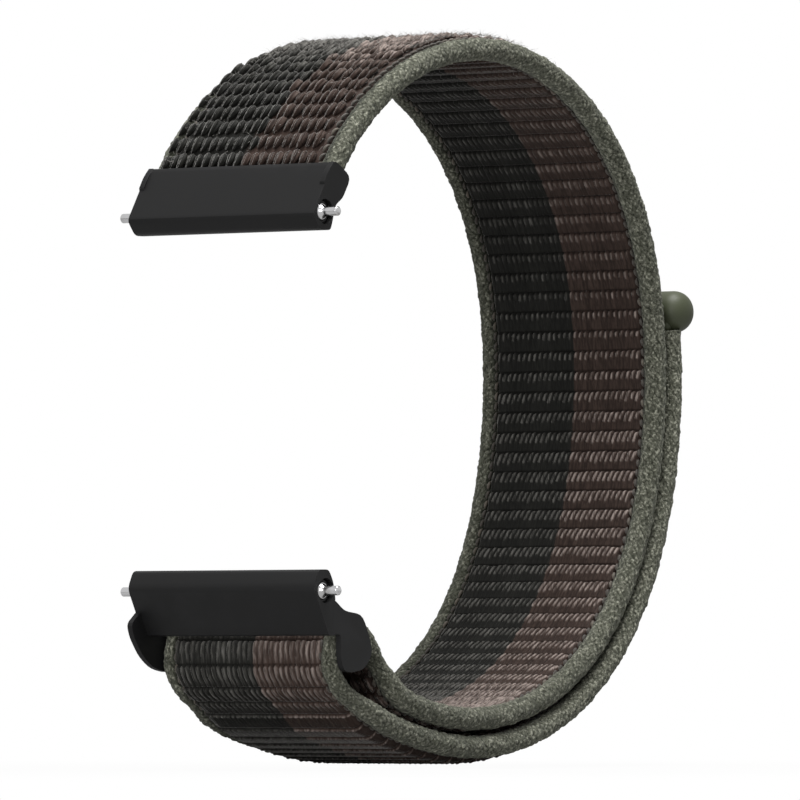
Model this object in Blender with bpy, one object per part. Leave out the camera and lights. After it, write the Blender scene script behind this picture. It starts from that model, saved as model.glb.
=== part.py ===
# Hook and loop watch strap: one woven strap, two lug adapters and two quick-release spring bars.
# +X runs from the watch towards the wrist side, +Z is up and -Y faces the viewer.
# The origin is halfway between the two spring bar axes, where the watch case sits.

import bpy
import bmesh
from math import sin, cos, pi, atan2, radians, floor
from mathutils import Vector, Matrix

MM = 0.001

# Watch and overall sizes
lug_width = 22.0 * MM
lug_play = 0.35 * MM
bar_spacing = 34.1 * MM
loop_overhang = 5.57 * MM
loop_rise = 1.85 * MM
loop_mean_radius = 30.07 * MM

# Shares of the mean radius that turn the round loop into the worn oval, and where each one peaks
oval_share = 0.0417
oval_peak = radians(71.0)
egg_share = 0.0126
egg_peak = radians(-46.4)
square_share = 0.0092
square_peak = radians(39.8)

# Strap
strap_width = 21.0 * MM
edge_tube_radius = 1.15 * MM
nipped_tube_radius = 1.0 * MM
web_outer_height = 1.1 * MM
web_crown_height = 1.6 * MM
web_inner_height = 0.7 * MM
nipped_web_height = 0.65 * MM
weave_gap = 0.25 * MM
layer_gap = 0.3 * MM
flex_gap = 0.35 * MM
run_step = 2.9 * MM
turn_step = radians(16.0)
tube_sides_resolution = 2

# Angles round the rail between which the strap lies on it, and points on the way to and from it
turn_first = radians(58.0)
turn_last = radians(165.0)
lead_count = 4
leave_count = 8
leave_fullness_share = 1.4

# Angles round the loop centre, counted from +X towards +Z
run_start = radians(128.0)
run_end = radians(-111.0)
tail_start = radians(-119.0)
middle_hinge = radians(-70.0)
tip_hinge = radians(-28.0)
tail_end = radians(10.0)
crown_ramp = radians(14.0)
tail_rise = 0.35 * MM
tail_rise_ramp = radians(16.0)
nip_length = 3.0 * MM
rail_nip_reach = 4.0 * MM

# Hook pad and pull tab
hook_pad_thickness = 0.4 * MM
hook_pad_gap = 0.15 * MM
hook_pad_length = 17.0 * MM
hook_pad_inset = 0.4 * MM
hook_pad_end_margin = 2.0 * MM
tab_radius = 2.1 * MM
tab_outset = 1.6 * MM
tab_lead = 2.1 * MM
tab_end_inset = 0.2 * MM
tab_round_steps = 5
tab_sides = 20
tab_seat_gap = 0.3 * MM

# Spring bars
barrel_radius = 0.75 * MM
barrel_wall = 0.2 * MM
barrel_end_gap = 0.2 * MM
plunger_shaft_radius = 0.45 * MM
plunger_inner_end = 3.1 * MM
flange_radius = 0.72 * MM
flange_setback = 0.55 * MM
flange_thickness = 0.35 * MM
flange_cone_length = 0.5 * MM
tip_radius = 0.41 * MM
tip_chamfer = 0.12 * MM
tip_reach = 1.45 * MM
plunger_travel = 1.5 * MM
bar_running_gap = 0.1 * MM
bar_sides = 16

# Bar springs
spring_wire_radius = 0.09 * MM
spring_coil_radius = 0.33 * MM
spring_pitch = 0.62 * MM
spring_seat_gap = 0.1 * MM
spring_points_per_turn = 8
spring_wire_resolution = 1

# Quick-release levers
lever_place = 6.3 * MM
lever_pin_radius = 0.2 * MM
lever_pin_gap = 0.05 * MM
lever_pin_depth = 0.25 * MM
lever_stem_radius = 0.36 * MM
lever_knob_radius = 0.6 * MM
lever_knob_start = 1.75 * MM
lever_knob_end = 2.35 * MM
lever_foot = 0.6 * MM
lever_slot_gap = 0.15 * MM
window_half_height = 0.95 * MM
knob_sides = 12

# Adapters
cheek_wall = 0.55 * MM
end_notch_depth = 0.75 * MM
end_notch_radius = 1.15 * MM
end_notch_shift = 0.35 * MM
rail_reach = 5.7 * MM
rail_drop = 5.45 * MM
rail_radius = 1.3 * MM
rail_gap = 0.2 * MM
rail_sides = 20
cutter_overrun = 1.0 * MM

# Fixed end in the upper adapter
rod_radius = 0.4 * MM
rod_inset = 0.3 * MM
hem_ply = 0.45 * MM
hem_gap = 0.1 * MM
hem_length = 2.3 * MM
hem_lean = radians(33.0)
hem_tongue_thickness = 1.0 * MM
hem_sides = 16
rod_across = 1.75 * MM
rod_up = 2.1 * MM

# Sizes worked out from the ones above
adapter_half_width = lug_width / 2 - lug_play
slot_half_width = adapter_half_width - cheek_wall
tube_offset = strap_width / 2 - edge_tube_radius
tab_width = strap_width - 2 * tab_end_inset
nipped_offset = slot_half_width - weave_gap - nipped_tube_radius
layer_pitch = 2 * edge_tube_radius + layer_gap
turn_radius = rail_radius + rail_gap + nipped_tube_radius
bore_radius = barrel_radius + bar_running_gap
flange_inner_face = adapter_half_width - flange_setback
barrel_half_length = flange_inner_face - plunger_travel - barrel_end_gap
tip_half_span = lug_width / 2 + tip_reach
hem_radius = rod_radius + hem_gap + hem_ply
loop_setback = loop_mean_radius - loop_overhang
loop_centre = Vector((loop_setback, loop_rise))
upper_bar = Vector((0, bar_spacing / 2))
lower_bar = Vector((0, -bar_spacing / 2))
rail_centre = lower_bar + Vector((rail_reach, -rail_drop))
rod_centre = upper_bar + Vector((rod_across, rod_up))
hem_way = Vector((sin(hem_lean), cos(hem_lean)))
mouth = rod_centre + hem_way * hem_length

# Colours, roughness and metallic value of each finish
finishes = {
    "black_metal": ((0.020, 0.020, 0.021), 0.45, 0.3),
    "bright_steel": ((0.62, 0.62, 0.64), 0.25, 1.0),
    "web_weave": ((0.045, 0.036, 0.034), 0.85, 0.0),
    "edge_weave": ((0.085, 0.092, 0.070), 0.9, 0.0),
    "hook_tape": ((0.030, 0.030, 0.030), 0.8, 0.0),
    "tab_plastic": ((0.075, 0.082, 0.050), 0.4, 0.0),
}


def start_empty():
    for old in list(bpy.data.objects):
        bpy.data.objects.remove(old, do_unlink=True)


def finish_material(name):
    material = bpy.data.materials.get(name)
    if material:
        return material
    colour, roughness, metallic = finishes[name]
    material = bpy.data.materials.new(name)
    material.use_nodes = True
    shader = material.node_tree.nodes["Principled BSDF"]
    shader.inputs["Base Color"].default_value = (*colour, 1)
    shader.inputs["Roughness"].default_value = roughness
    shader.inputs["Metallic"].default_value = metallic
    return material


def add_object(name, data, finish=None):
    thing = bpy.data.objects.new(name, data)
    bpy.context.collection.objects.link(thing)
    if finish:
        data.materials.append(finish_material(finish))
    return thing


def mesh_from(name, fill):
    """A mesh made by one bmesh function, with its faces pointing out."""
    mesh = bpy.data.meshes.new(name)
    work = bmesh.new()
    fill(work)
    bmesh.ops.recalc_face_normals(work, faces=work.faces)
    work.to_mesh(mesh)
    work.free()
    return mesh


def shade_round(mesh, angle=radians(35.0)):
    mesh.shade_smooth()
    mesh.set_sharp_from_angle(angle=angle)


def space(point, across):
    """A point of the side view, moved across the strap's width, as a place in the part."""
    return Vector((point.x, across, point.y))


# The route of the strap in the side view

def loop_radius(angle):
    bend = 1 + oval_share * cos(2 * (angle - oval_peak))
    bend += egg_share * cos(3 * (angle - egg_peak))
    bend += square_share * cos(4 * (angle - square_peak))
    return loop_mean_radius * bend


def loop_point(angle, outward=0.0):
    return loop_centre + Vector((cos(angle), sin(angle))) * (loop_radius(angle) + outward)


def loop_way(angle, outward, turning):
    """The unit direction along the loop at an angle; turning is 1 towards +Z from +X, else -1."""
    nudge = radians(0.5)
    ahead = loop_point(angle + nudge, outward)
    behind = loop_point(angle - nudge, outward)
    return (ahead - behind).normalized() * turning


def sweep_angles(first, last, radius, step):
    count = max(2, round(abs(last - first) * radius / step))
    return [first + (last - first) * i / count for i in range(count + 1)]


def bridge_curve(start, start_way, end, end_way, count, fullness_share=1):
    """Points inside a smooth curve that joins two places in given directions."""
    pull = (end - start).length * fullness_share
    points = []
    for i in range(1, count):
        t = i / count
        points.append(
            start * (2 * t**3 - 3 * t**2 + 1)
            + start_way * pull * (t**3 - 2 * t**2 + t)
            + end * (3 * t**2 - 2 * t**3)
            + end_way * pull * (t**3 - t**2)
        )
    return points


def rail_point(angle):
    return rail_centre + Vector((cos(angle), sin(angle))) * turn_radius


def rail_way(angle):
    return Vector((-sin(angle), cos(angle)))


def run_route():
    """From the upper adapter's mouth over the top, down the back and to the lower adapter."""
    start = mouth + hem_way * flex_gap
    points = [start]
    points += bridge_curve(start, hem_way, loop_point(run_start), loop_way(run_start, 0, -1), lead_count)
    angles = sweep_angles(run_start, run_end, loop_mean_radius, run_step)
    points += [loop_point(a) for a in angles]
    return points


def turn_route():
    """From the end of the run, through the slot, round the rail and out to the tail."""
    points = [loop_point(run_end)]
    points += bridge_curve(points[0], loop_way(run_end, 0, -1),
                           rail_point(turn_first), rail_way(turn_first), leave_count)
    angles = sweep_angles(turn_first, turn_last, 1, turn_step)
    points += [rail_point(a) for a in angles]
    join = tail_point(tail_start)
    points += bridge_curve(points[-1], rail_way(turn_last), join, loop_way(tail_start, layer_pitch, 1),
                           leave_count, leave_fullness_share)
    points.append(join)
    return points


def tail_point(angle, outward=0.0):
    """The tail lies one layer outside the run, and a little further out where it leaves the rail."""
    rise = tail_rise * (1 - smooth_share((angle - tail_start) / tail_rise_ramp))
    return loop_point(angle, layer_pitch + rise + outward)


def tail_route(first, last):
    angles = sweep_angles(first, last, loop_mean_radius, run_step)
    return [tail_point(a) for a in angles]


def trim(points, front, back):
    """The same route, shortened at its two ends."""
    points = list(points)
    for cut in (front, back):
        left = cut
        while left > 0 and (points[1] - points[0]).length <= left:
            left -= (points[1] - points[0]).length
            points.pop(0)
        way = (points[1] - points[0]).normalized()
        points[0] = points[0] + way * left
        points.reverse()
    return points


def side_normals(points):
    """Unit vectors square to the route, pointing to the left of its direction."""
    normals = []
    for i in range(len(points)):
        ahead = points[min(i + 1, len(points) - 1)]
        behind = points[max(i - 1, 0)]
        way = (ahead - behind).normalized()
        normals.append(Vector((-way.y, way.x)))
    return normals


def lengths_along(points):
    total = 0.0
    run = [0.0]
    for a, b in zip(points, points[1:]):
        total += (b - a).length
        run.append(total)
    return run


def nipped_share(point):
    """1 where the strap is drawn in at the rail, falling smoothly to 0 at its full width."""
    return 1 - smooth_share(((point - rail_centre).length - rail_nip_reach) / nip_length)


def smooth_share(t):
    t = min(max(t, 0), 1)
    return t * t * (3 - 2 * t)


def angle_of(point):
    offset = point - loop_centre
    return atan2(offset.y, offset.x)


def run_outer_height(point):
    """The run's web stands proud of its tubes only where the tail does not lie on it."""
    share = smooth_share((angle_of(point) - tail_end) / crown_ramp)
    return blend_size(web_outer_height, web_crown_height, share)


def tail_outer_height(point):
    return web_crown_height


def turn_outer_height(point):
    """The side that shows on the turn grows to the tail's crown only where it lies outside the run."""
    outside = (point - loop_centre).length - loop_radius(angle_of(point))
    return blend_size(web_inner_height, web_crown_height, smooth_share(outside / layer_pitch))


def blend_size(full, nipped, share):
    return full + (nipped - full) * share


# Strap pieces

def band(name, points, half_widths, lows, highs, finish):
    """A flat woven band along a route, between two distances from its middle at each point."""
    normals = side_normals(points)

    def fill(work):
        rings = []
        for point, normal, half, low, high in zip(points, normals, half_widths, lows, highs):
            ring = [
                work.verts.new(space(point + normal * low, -half)),
                work.verts.new(space(point + normal * low, half)),
                work.verts.new(space(point + normal * high, half)),
                work.verts.new(space(point + normal * high, -half)),
            ]
            rings.append(ring)
        for one, two in zip(rings, rings[1:]):
            for i in range(4):
                j = (i + 1) % 4
                work.faces.new((one[i], one[j], two[j], two[i]))
        work.faces.new(rings[0])
        work.faces.new(rings[-1])

    mesh = mesh_from(name, fill)
    shade_round(mesh)
    return add_object(name, mesh, finish)


def edge_tube(name, points, offsets, radii):
    """A round woven tube along one edge of the strap."""
    curve = bpy.data.curves.new(name, "CURVE")
    curve.dimensions = "3D"
    curve.bevel_depth = edge_tube_radius
    curve.bevel_resolution = tube_sides_resolution
    curve.use_fill_caps = True
    spline = curve.splines.new("POLY")
    spline.points.add(len(points) - 1)
    for i, (point, offset, radius) in enumerate(zip(points, offsets, radii)):
        spline.points[i].co = (*space(point, offset), 1)
        spline.points[i].radius = radius / edge_tube_radius
    return add_object(name, curve, "edge_weave")


def strap_section(name, points, outer_side, outer_height):
    """A stretch of strap: the web and its two edge tubes. outer_side is 1 where the face that
    shows on the outside of the loop lies to the left of the route, and -1 to its right."""
    shares = [nipped_share(point) for point in points]
    radii = [blend_size(edge_tube_radius, nipped_tube_radius, share) for share in shares]
    offsets = [blend_size(tube_offset, nipped_offset, share) for share in shares]
    half_widths = [offset - radius - weave_gap for offset, radius in zip(offsets, radii)]
    outer = [blend_size(outer_height(point), nipped_web_height, share)
             for point, share in zip(points, shares)]
    inner = [blend_size(web_inner_height, nipped_web_height, share) for share in shares]
    lows, highs = (inner, outer) if outer_side > 0 else (outer, inner)
    band(name + "_web", points, half_widths, [-low for low in lows], highs, "web_weave")
    edge_tube(name + "_near_edge", points, [-offset for offset in offsets], radii)
    edge_tube(name + "_far_edge", points, offsets, radii)


def build_strap():
    half = flex_gap / 2
    strap_section("main_run", trim(run_route(), 0, half), 1, run_outer_height)
    strap_section("rail_turn", trim(turn_route(), half, half), -1, turn_outer_height)
    strap_section("tail_root", trim(tail_route(tail_start, middle_hinge), half, half), -1, tail_outer_height)
    strap_section("tail_middle", trim(tail_route(middle_hinge, tip_hinge), half, half), -1,
                  tail_outer_height)
    tip = trim(tail_route(tip_hinge, tail_end), half, 0)
    strap_section("tail_tip", tip, -1, tail_outer_height)
    build_hook_pad(tip)
    build_pull_tab(tip)


def build_hook_pad(tip):
    spare = lengths_along(tip)[-1] - hook_pad_length - hook_pad_end_margin
    route = trim(tip, spare, hook_pad_end_margin)
    half = tube_offset - edge_tube_radius - weave_gap - hook_pad_inset
    low = web_inner_height + hook_pad_gap
    high = low + hook_pad_thickness
    count = len(route)
    band("hook_pad", route, [half] * count, [low] * count, [high] * count, "hook_tape")


def turned_about(centre, way, profile, sides):
    """A closed turned solid: profile is a list of (place along, radius) from end to end."""
    way = way.normalized()
    side = way.orthogonal().normalized()
    up = way.cross(side)

    def fill(work):
        rings = []
        for place, radius in profile:
            middle = centre + way * place
            ring = []
            for i in range(sides):
                angle = 2 * pi * (i + 0.5) / sides
                ring.append(work.verts.new(middle + (side * cos(angle) + up * sin(angle)) * radius))
            rings.append(ring)
        for one, two in zip(rings, rings[1:]):
            for i in range(sides):
                j = (i + 1) % sides
                work.faces.new((one[i], one[j], two[j], two[i]))
        work.faces.new(rings[0])
        work.faces.new(rings[-1])

    return fill


def turned_object(name, centre, way, profile, sides, finish=None):
    mesh = mesh_from(name, turned_about(centre, way, profile, sides))
    shade_round(mesh)
    return add_object(name, mesh, finish)


def build_pull_tab(tip):
    """The moulded bar across the tail's end, with a pocket for the end of the web."""
    way = (tip[-1] - tip[-2]).normalized()
    outward = Vector((way.y, -way.x))
    centre = tip[-1] + way * tab_lead + outward * tab_outset
    half = tab_width / 2
    profile = []
    for i in range(tab_round_steps):
        angle = pi / 2 * (1 - (i + 0.5) / tab_round_steps)
        profile.append((tab_radius * (1 - sin(angle)) - half, tab_radius * cos(angle)))
    mirrored = [(-place, radius) for place, radius in reversed(profile)]
    tab = turned_object("pull_tab", space(centre, 0), Vector((0, 1, 0)), profile + mirrored,
                        tab_sides, "tab_plastic")
    pocket_half = tube_offset + edge_tube_radius + tab_seat_gap
    pocket = box_cutter("pull_tab_pocket", tip[-1], way, -cutter_overrun * 2, tab_seat_gap,
                        edge_tube_radius + tab_seat_gap, -pocket_half, pocket_half)
    cut(tab, pocket)
    return tab


def box_cutter(name, point, way, start, end, half_height, low_across, high_across):
    """A box along a direction of the side view, used for cutting."""
    normal = Vector((-way.y, way.x))

    def fill(work):
        corners = []
        for across in (low_across, high_across):
            for along, height in ((start, -half_height), (end, -half_height),
                                  (end, half_height), (start, half_height)):
                corners.append(work.verts.new(space(point + way * along + normal * height, across)))
        low, high = corners[:4], corners[4:]
        work.faces.new(low)
        work.faces.new(high)
        for i in range(4):
            j = (i + 1) % 4
            work.faces.new((low[i], low[j], high[j], high[i]))

    return hide_guide(add_object(name, mesh_from(name, fill)))


def hide_guide(guide):
    guide.hide_render = True
    guide.display_type = "WIRE"
    return guide


def boolean(target, other, operation):
    modifier = target.modifiers.new(other.name, "BOOLEAN")
    modifier.operation = operation
    modifier.object = other
    modifier.solver = "EXACT"


def cut(target, cutter):
    boolean(target, cutter, "DIFFERENCE")


def join(target, other):
    boolean(target, hide_guide(other), "UNION")


def prism(name, outline, low, high, finish=None):
    """A straight solid across the width, from an outline in the side view."""

    def fill(work):
        near = [work.verts.new(space(point, low)) for point in outline]
        far = [work.verts.new(space(point, high)) for point in outline]
        work.faces.new(near)
        work.faces.new(far)
        for i in range(len(outline)):
            j = (i + 1) % len(outline)
            work.faces.new((near[i], near[j], far[j], far[i]))

    mesh = mesh_from(name, fill)
    return add_object(name, mesh, finish)


def rounded(points, radius_shares, steps=3):
    """An outline whose corners are rounded, each by its own share of its shorter side."""
    outline = []
    count = len(points)
    for i, point in enumerate(points):
        share = radius_shares[i]
        before = points[i - 1]
        after = points[(i + 1) % count]
        if share == 0:
            outline.append(point)
            continue
        reach = share * min((before - point).length, (after - point).length)
        start = point + (before - point).normalized() * reach
        end = point + (after - point).normalized() * reach
        for k in range(steps + 1):
            t = k / steps
            outline.append(start * (1 - t) ** 2 + point * 2 * t * (1 - t) + end * t**2)
    return outline


def outline_from(centre, unit, table):
    """Named shares of one size, turned into points round a centre, with their corner shares."""
    points = [centre + Vector((x, z)) * unit for x, z, corner in table]
    return rounded(points, [corner for x, z, corner in table])


# Outline points are shares of this one size, which is the head's half thickness
head_half_thickness = 1.5 * MM

# Lower adapter: head and front plate, shares (across, up, corner rounding)
lower_head_shares = (
    (-0.47, 1.27, 0.3),
    (-1.00, 0.20, 0.3),
    (0.53, -2.70, 0.3),
    (1.20, -2.70, 0.3),
    (0.95, -1.20, 0.3),
    (1.20, -0.60, 0.4),
    (0.97, 0.53, 0.3),
    (0.53, 1.27, 0.3),
)

# Lower adapter: far cheek, whose ear stands out past the front plate
lower_far_cheek_shares = (
    (-0.10, -0.60, 0.0),
    (-0.10, -1.15, 0.2),
    (-1.12, -1.95, 0.4),
    (-0.85, -2.75, 0.4),
    (0.00, -3.90, 0.4),
    (1.10, -4.65, 0.4),
    (2.40, -4.90, 0.3),
    (4.05, -4.72, 0.4),
    (4.90, -3.75, 0.4),
    (4.45, -2.55, 0.4),
    (3.85, -1.42, 0.45),
    (2.05, -1.20, 0.4),
    (1.20, -0.60, 0.4),
    (0.60, -0.40, 0.0),
)

# Lower adapter: near cheek, cut back so that the near edge tube shows in the slot
lower_near_cheek_shares = (
    (0.30, -0.60, 0.0),
    (0.62, -2.62, 0.0),
    (1.70, -2.62, 0.2),
    (1.70, -4.00, 0.4),
    (2.00, -4.80, 0.4),
    (2.75, -4.92, 0.3),
    (4.05, -4.72, 0.4),
    (4.90, -3.75, 0.4),
    (4.45, -2.55, 0.4),
    (3.85, -1.42, 0.45),
    (2.05, -1.20, 0.4),
    (1.20, -0.60, 0.4),
    (0.60, -0.40, 0.0),
)

# Upper adapter: head and the two plates that hold the hem
upper_body_shares = (
    (-0.27, -1.10, 0.3),
    (-1.00, -0.20, 0.25),
    (1.13, 3.19, 0.25),
    (2.80, 2.17, 0.35),
    (1.97, 0.88, 0.3),
    (1.20, 0.40, 0.4),
    (1.00, -0.40, 0.3),
    (0.75, -1.10, 0.3),
)

# Upper adapter: the slight ear of each end wall
upper_ear_shares = (
    (0.20, 1.55, 0.0),
    (0.12, 1.80, 0.3),
    (0.55, 2.50, 0.4),
    (1.10, 3.05, 0.0),
    (1.50, 2.20, 0.0),
)


def bore_cutter(name, centre, radius, low, high, sides):
    profile = [(low, radius), (high, radius)]
    return hide_guide(turned_object(name, space(centre, 0), Vector((0, 1, 0)), profile, sides))


def head_cuts(name, body, bar):
    """The spring bar's bore, the notch at each end and the window of the release lever."""
    reach = adapter_half_width + cutter_overrun
    cut(body, bore_cutter(name + "_bore", bar, bore_radius, -reach, reach, bar_sides))
    notch_floor = adapter_half_width - end_notch_depth
    notch_centre = bar + Vector((end_notch_shift, 0))
    cut(body, bore_cutter(name + "_near_notch", notch_centre, end_notch_radius, -reach, -notch_floor,
                          bar_sides))
    cut(body, bore_cutter(name + "_far_notch", notch_centre, end_notch_radius, notch_floor, reach,
                          bar_sides))
    near = -lever_place - lever_stem_radius - lever_slot_gap
    far = -lever_place + plunger_travel + lever_stem_radius + lever_slot_gap
    window = box_cutter(name + "_window", bar, Vector((1, 0)), 0, head_half_thickness + cutter_overrun,
                        window_half_height, near, far)
    cut(body, window)


def build_lower_adapter():
    unit = head_half_thickness
    head = outline_from(lower_bar, unit, lower_head_shares)
    near_cheek = outline_from(lower_bar, unit, lower_near_cheek_shares)
    far_cheek = outline_from(lower_bar, unit, lower_far_cheek_shares)
    body = prism("lower_adapter", head, -adapter_half_width, adapter_half_width, "black_metal")
    join(body, prism("lower_near_cheek", near_cheek, -adapter_half_width, -slot_half_width))
    join(body, prism("lower_far_cheek", far_cheek, slot_half_width, adapter_half_width))
    inner = slot_half_width + cheek_wall / 2
    rail = turned_object("lower_rail", space(rail_centre, 0), Vector((0, 1, 0)),
                         [(-inner, rail_radius), (inner, rail_radius)], rail_sides)
    join(body, rail)
    head_cuts("lower", body, lower_bar)
    return body


def build_upper_adapter():
    unit = head_half_thickness
    body = prism("upper_adapter", outline_from(upper_bar, unit, upper_body_shares),
                 -adapter_half_width, adapter_half_width, "black_metal")
    for side, low, high in (("near", -adapter_half_width, -slot_half_width),
                            ("far", slot_half_width, adapter_half_width)):
        join(body, prism("upper_ear_" + side, outline_from(upper_bar, unit, upper_ear_shares), low, high))
    cut(body, bore_cutter("upper_hem_bore", rod_centre, hem_radius + hem_gap, -slot_half_width,
                          slot_half_width, hem_sides))
    pocket_half = hem_tongue_thickness / 2 + hem_gap
    cut(body, box_cutter("upper_hem_slot", rod_centre, hem_way, 0, hem_length + cutter_overrun * 2,
                         pocket_half, -slot_half_width, slot_half_width))
    head_cuts("upper", body, upper_bar)
    return body


def build_hem():
    """The web's end folded round its rod, with the tongue that leads to the mouth."""
    half = slot_half_width - weave_gap
    hem = turned_object("strap_hem", space(rod_centre, 0), Vector((0, 1, 0)),
                        [(-half, hem_radius), (half, hem_radius)], hem_sides, "web_weave")
    tongue = box_cutter("strap_hem_tongue", rod_centre, hem_way, 0, hem_length,
                        hem_tongue_thickness / 2, -half, half)
    join(hem, tongue)
    reach = half + cutter_overrun
    cut(hem, bore_cutter("strap_hem_tunnel", rod_centre, rod_radius + hem_gap, -reach, reach, hem_sides))
    rod_half = half - rod_inset
    turned_object("hem_rod", space(rod_centre, 0), Vector((0, 1, 0)),
                  [(-rod_half, rod_radius), (rod_half, rod_radius)], hem_sides, "bright_steel")


def build_barrel(name, bar):
    bore = barrel_radius - barrel_wall
    barrel = turned_object(name + "_bar_barrel", space(bar, 0), Vector((0, 1, 0)),
                           [(-barrel_half_length, barrel_radius), (barrel_half_length, barrel_radius)],
                           bar_sides, "bright_steel")
    reach = barrel_half_length + cutter_overrun
    cut(barrel, bore_cutter(name + "_barrel_bore", bar, bore, -reach, reach, bar_sides))
    near = -lever_place - lever_stem_radius - lever_slot_gap
    far = -lever_place + plunger_travel + lever_stem_radius + lever_slot_gap
    slot = box_cutter(name + "_barrel_slot", bar, Vector((1, 0)), 0, barrel_radius + cutter_overrun,
                      lever_stem_radius + lever_slot_gap / 2, near, far)
    cut(barrel, slot)


def build_plunger(name, bar, side):
    """side is -1 at the near end and 1 at the far end."""
    flange_outer = flange_inner_face + flange_thickness
    profile = [
        (plunger_inner_end, plunger_shaft_radius),
        (flange_inner_face, plunger_shaft_radius),
        (flange_inner_face, flange_radius),
        (flange_outer, flange_radius),
        (flange_outer + flange_cone_length, tip_radius),
        (tip_half_span - tip_chamfer, tip_radius),
        (tip_half_span, tip_radius - tip_chamfer),
    ]
    end = "near" if side < 0 else "far"
    plunger = turned_object(name + "_" + end + "_plunger", space(bar, 0), Vector((0, side, 0)),
                            profile, bar_sides, "bright_steel")
    if side < 0:
        hole = turned_object(name + "_lever_hole", space(bar, -lever_place), Vector((1, 0, 0)),
                             [(-lever_pin_depth, lever_pin_radius + lever_pin_gap),
                              (plunger_shaft_radius + cutter_overrun, lever_pin_radius + lever_pin_gap)],
                             knob_sides)
        cut(plunger, hide_guide(hole))


def build_lever(name, bar):
    profile = [
        (lever_pin_gap - lever_pin_depth, lever_pin_radius),
        (lever_foot, lever_pin_radius),
        (lever_foot, lever_stem_radius),
        (lever_knob_start, lever_stem_radius),
        (lever_knob_start, lever_knob_radius),
        (lever_knob_end - lever_pin_radius / 2, lever_knob_radius),
        (lever_knob_end, lever_knob_radius - lever_pin_radius / 2),
    ]
    turned_object(name + "_release_lever", space(bar, -lever_place), Vector((1, 0, 0)), profile,
                  knob_sides, "bright_steel")


def spring_points():
    """The spring's wire, as one helix along the bar's middle."""
    half = plunger_inner_end - spring_seat_gap - spring_wire_radius
    turns = floor(2 * half / spring_pitch)
    count = turns * spring_points_per_turn
    points = []
    for i in range(count + 1):
        angle = 2 * pi * i / spring_points_per_turn
        along = -half + 2 * half * i / count
        points.append(Vector((spring_coil_radius * cos(angle), along, spring_coil_radius * sin(angle))))
    return points


def least_spring_gap(points):
    least = None
    apart = spring_points_per_turn * 3 // 4
    for i, one in enumerate(points):
        for other in points[i + apart:]:
            gap = (one - other).length - 2 * spring_wire_radius
            if least is None or gap < least:
                least = gap
    return least


def build_spring(name, bar):
    points = spring_points()
    print(name, "spring: least gap to itself", round(least_spring_gap(points) / MM, 3), "mm")
    curve = bpy.data.curves.new(name + "_bar_spring", "CURVE")
    curve.dimensions = "3D"
    curve.bevel_depth = spring_wire_radius
    curve.bevel_resolution = spring_wire_resolution
    curve.use_fill_caps = True
    spline = curve.splines.new("POLY")
    spline.points.add(len(points) - 1)
    for i, point in enumerate(points):
        spline.points[i].co = (*(space(bar, 0) + point), 1)
    add_object(name + "_bar_spring", curve, "bright_steel")


def build_spring_bar(name, bar):
    build_barrel(name, bar)
    build_plunger(name, bar, -1)
    build_plunger(name, bar, 1)
    build_spring(name, bar)
    build_lever(name, bar)


def hang(name, place, children):
    """An empty on a joint's axis that carries the pieces which move about it."""
    pivot = add_object(name + "_pivot", None)
    pivot.location = place
    for child in children:
        thing = bpy.data.objects[child]
        thing.parent = pivot
        thing.matrix_parent_inverse = Matrix.Translation(-place)


def section_names(name):
    return [name + "_web", name + "_near_edge", name + "_far_edge"]


def peel_place(angle):
    """A place on the tail's outer skin, where it hinges as it is peeled off."""
    return space(tail_point(angle, web_crown_height), 0)


def hang_bodies():
    flex = space(mouth + hem_way * flex_gap / 2, 0)
    hang("strap_flex", flex, section_names("main_run") + section_names("rail_turn"))
    hang("tail_root_peel", peel_place(tail_start), section_names("tail_root"))
    hang("tail_middle_peel", peel_place(middle_hinge), section_names("tail_middle"))
    hang("tail_tip_peel", peel_place(tip_hinge), section_names("tail_tip") + ["hook_pad", "pull_tab"])
    hang("lower_adapter_swing", space(rail_centre, 0), ["lower_adapter"])
    for name, bar in (("upper", upper_bar), ("lower", lower_bar)):
        hang(name + "_bar_turn", space(bar, 0), [name + "_bar_barrel", name + "_bar_spring"])
        hang(name + "_near_slide", space(bar, -plunger_inner_end), [name + "_near_plunger",
                                                                    name + "_release_lever"])
        hang(name + "_far_slide", space(bar, plunger_inner_end), [name + "_far_plunger"])


start_empty()
build_upper_adapter()
build_hem()
build_strap()
build_lower_adapter()
build_spring_bar("upper", upper_bar)
build_spring_bar("lower", lower_bar)
hang_bodies()
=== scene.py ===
import bpy
import bmesh
from math import sin, cos, pi, radians
import numpy as np
from mathutils import Matrix, Vector


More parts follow.
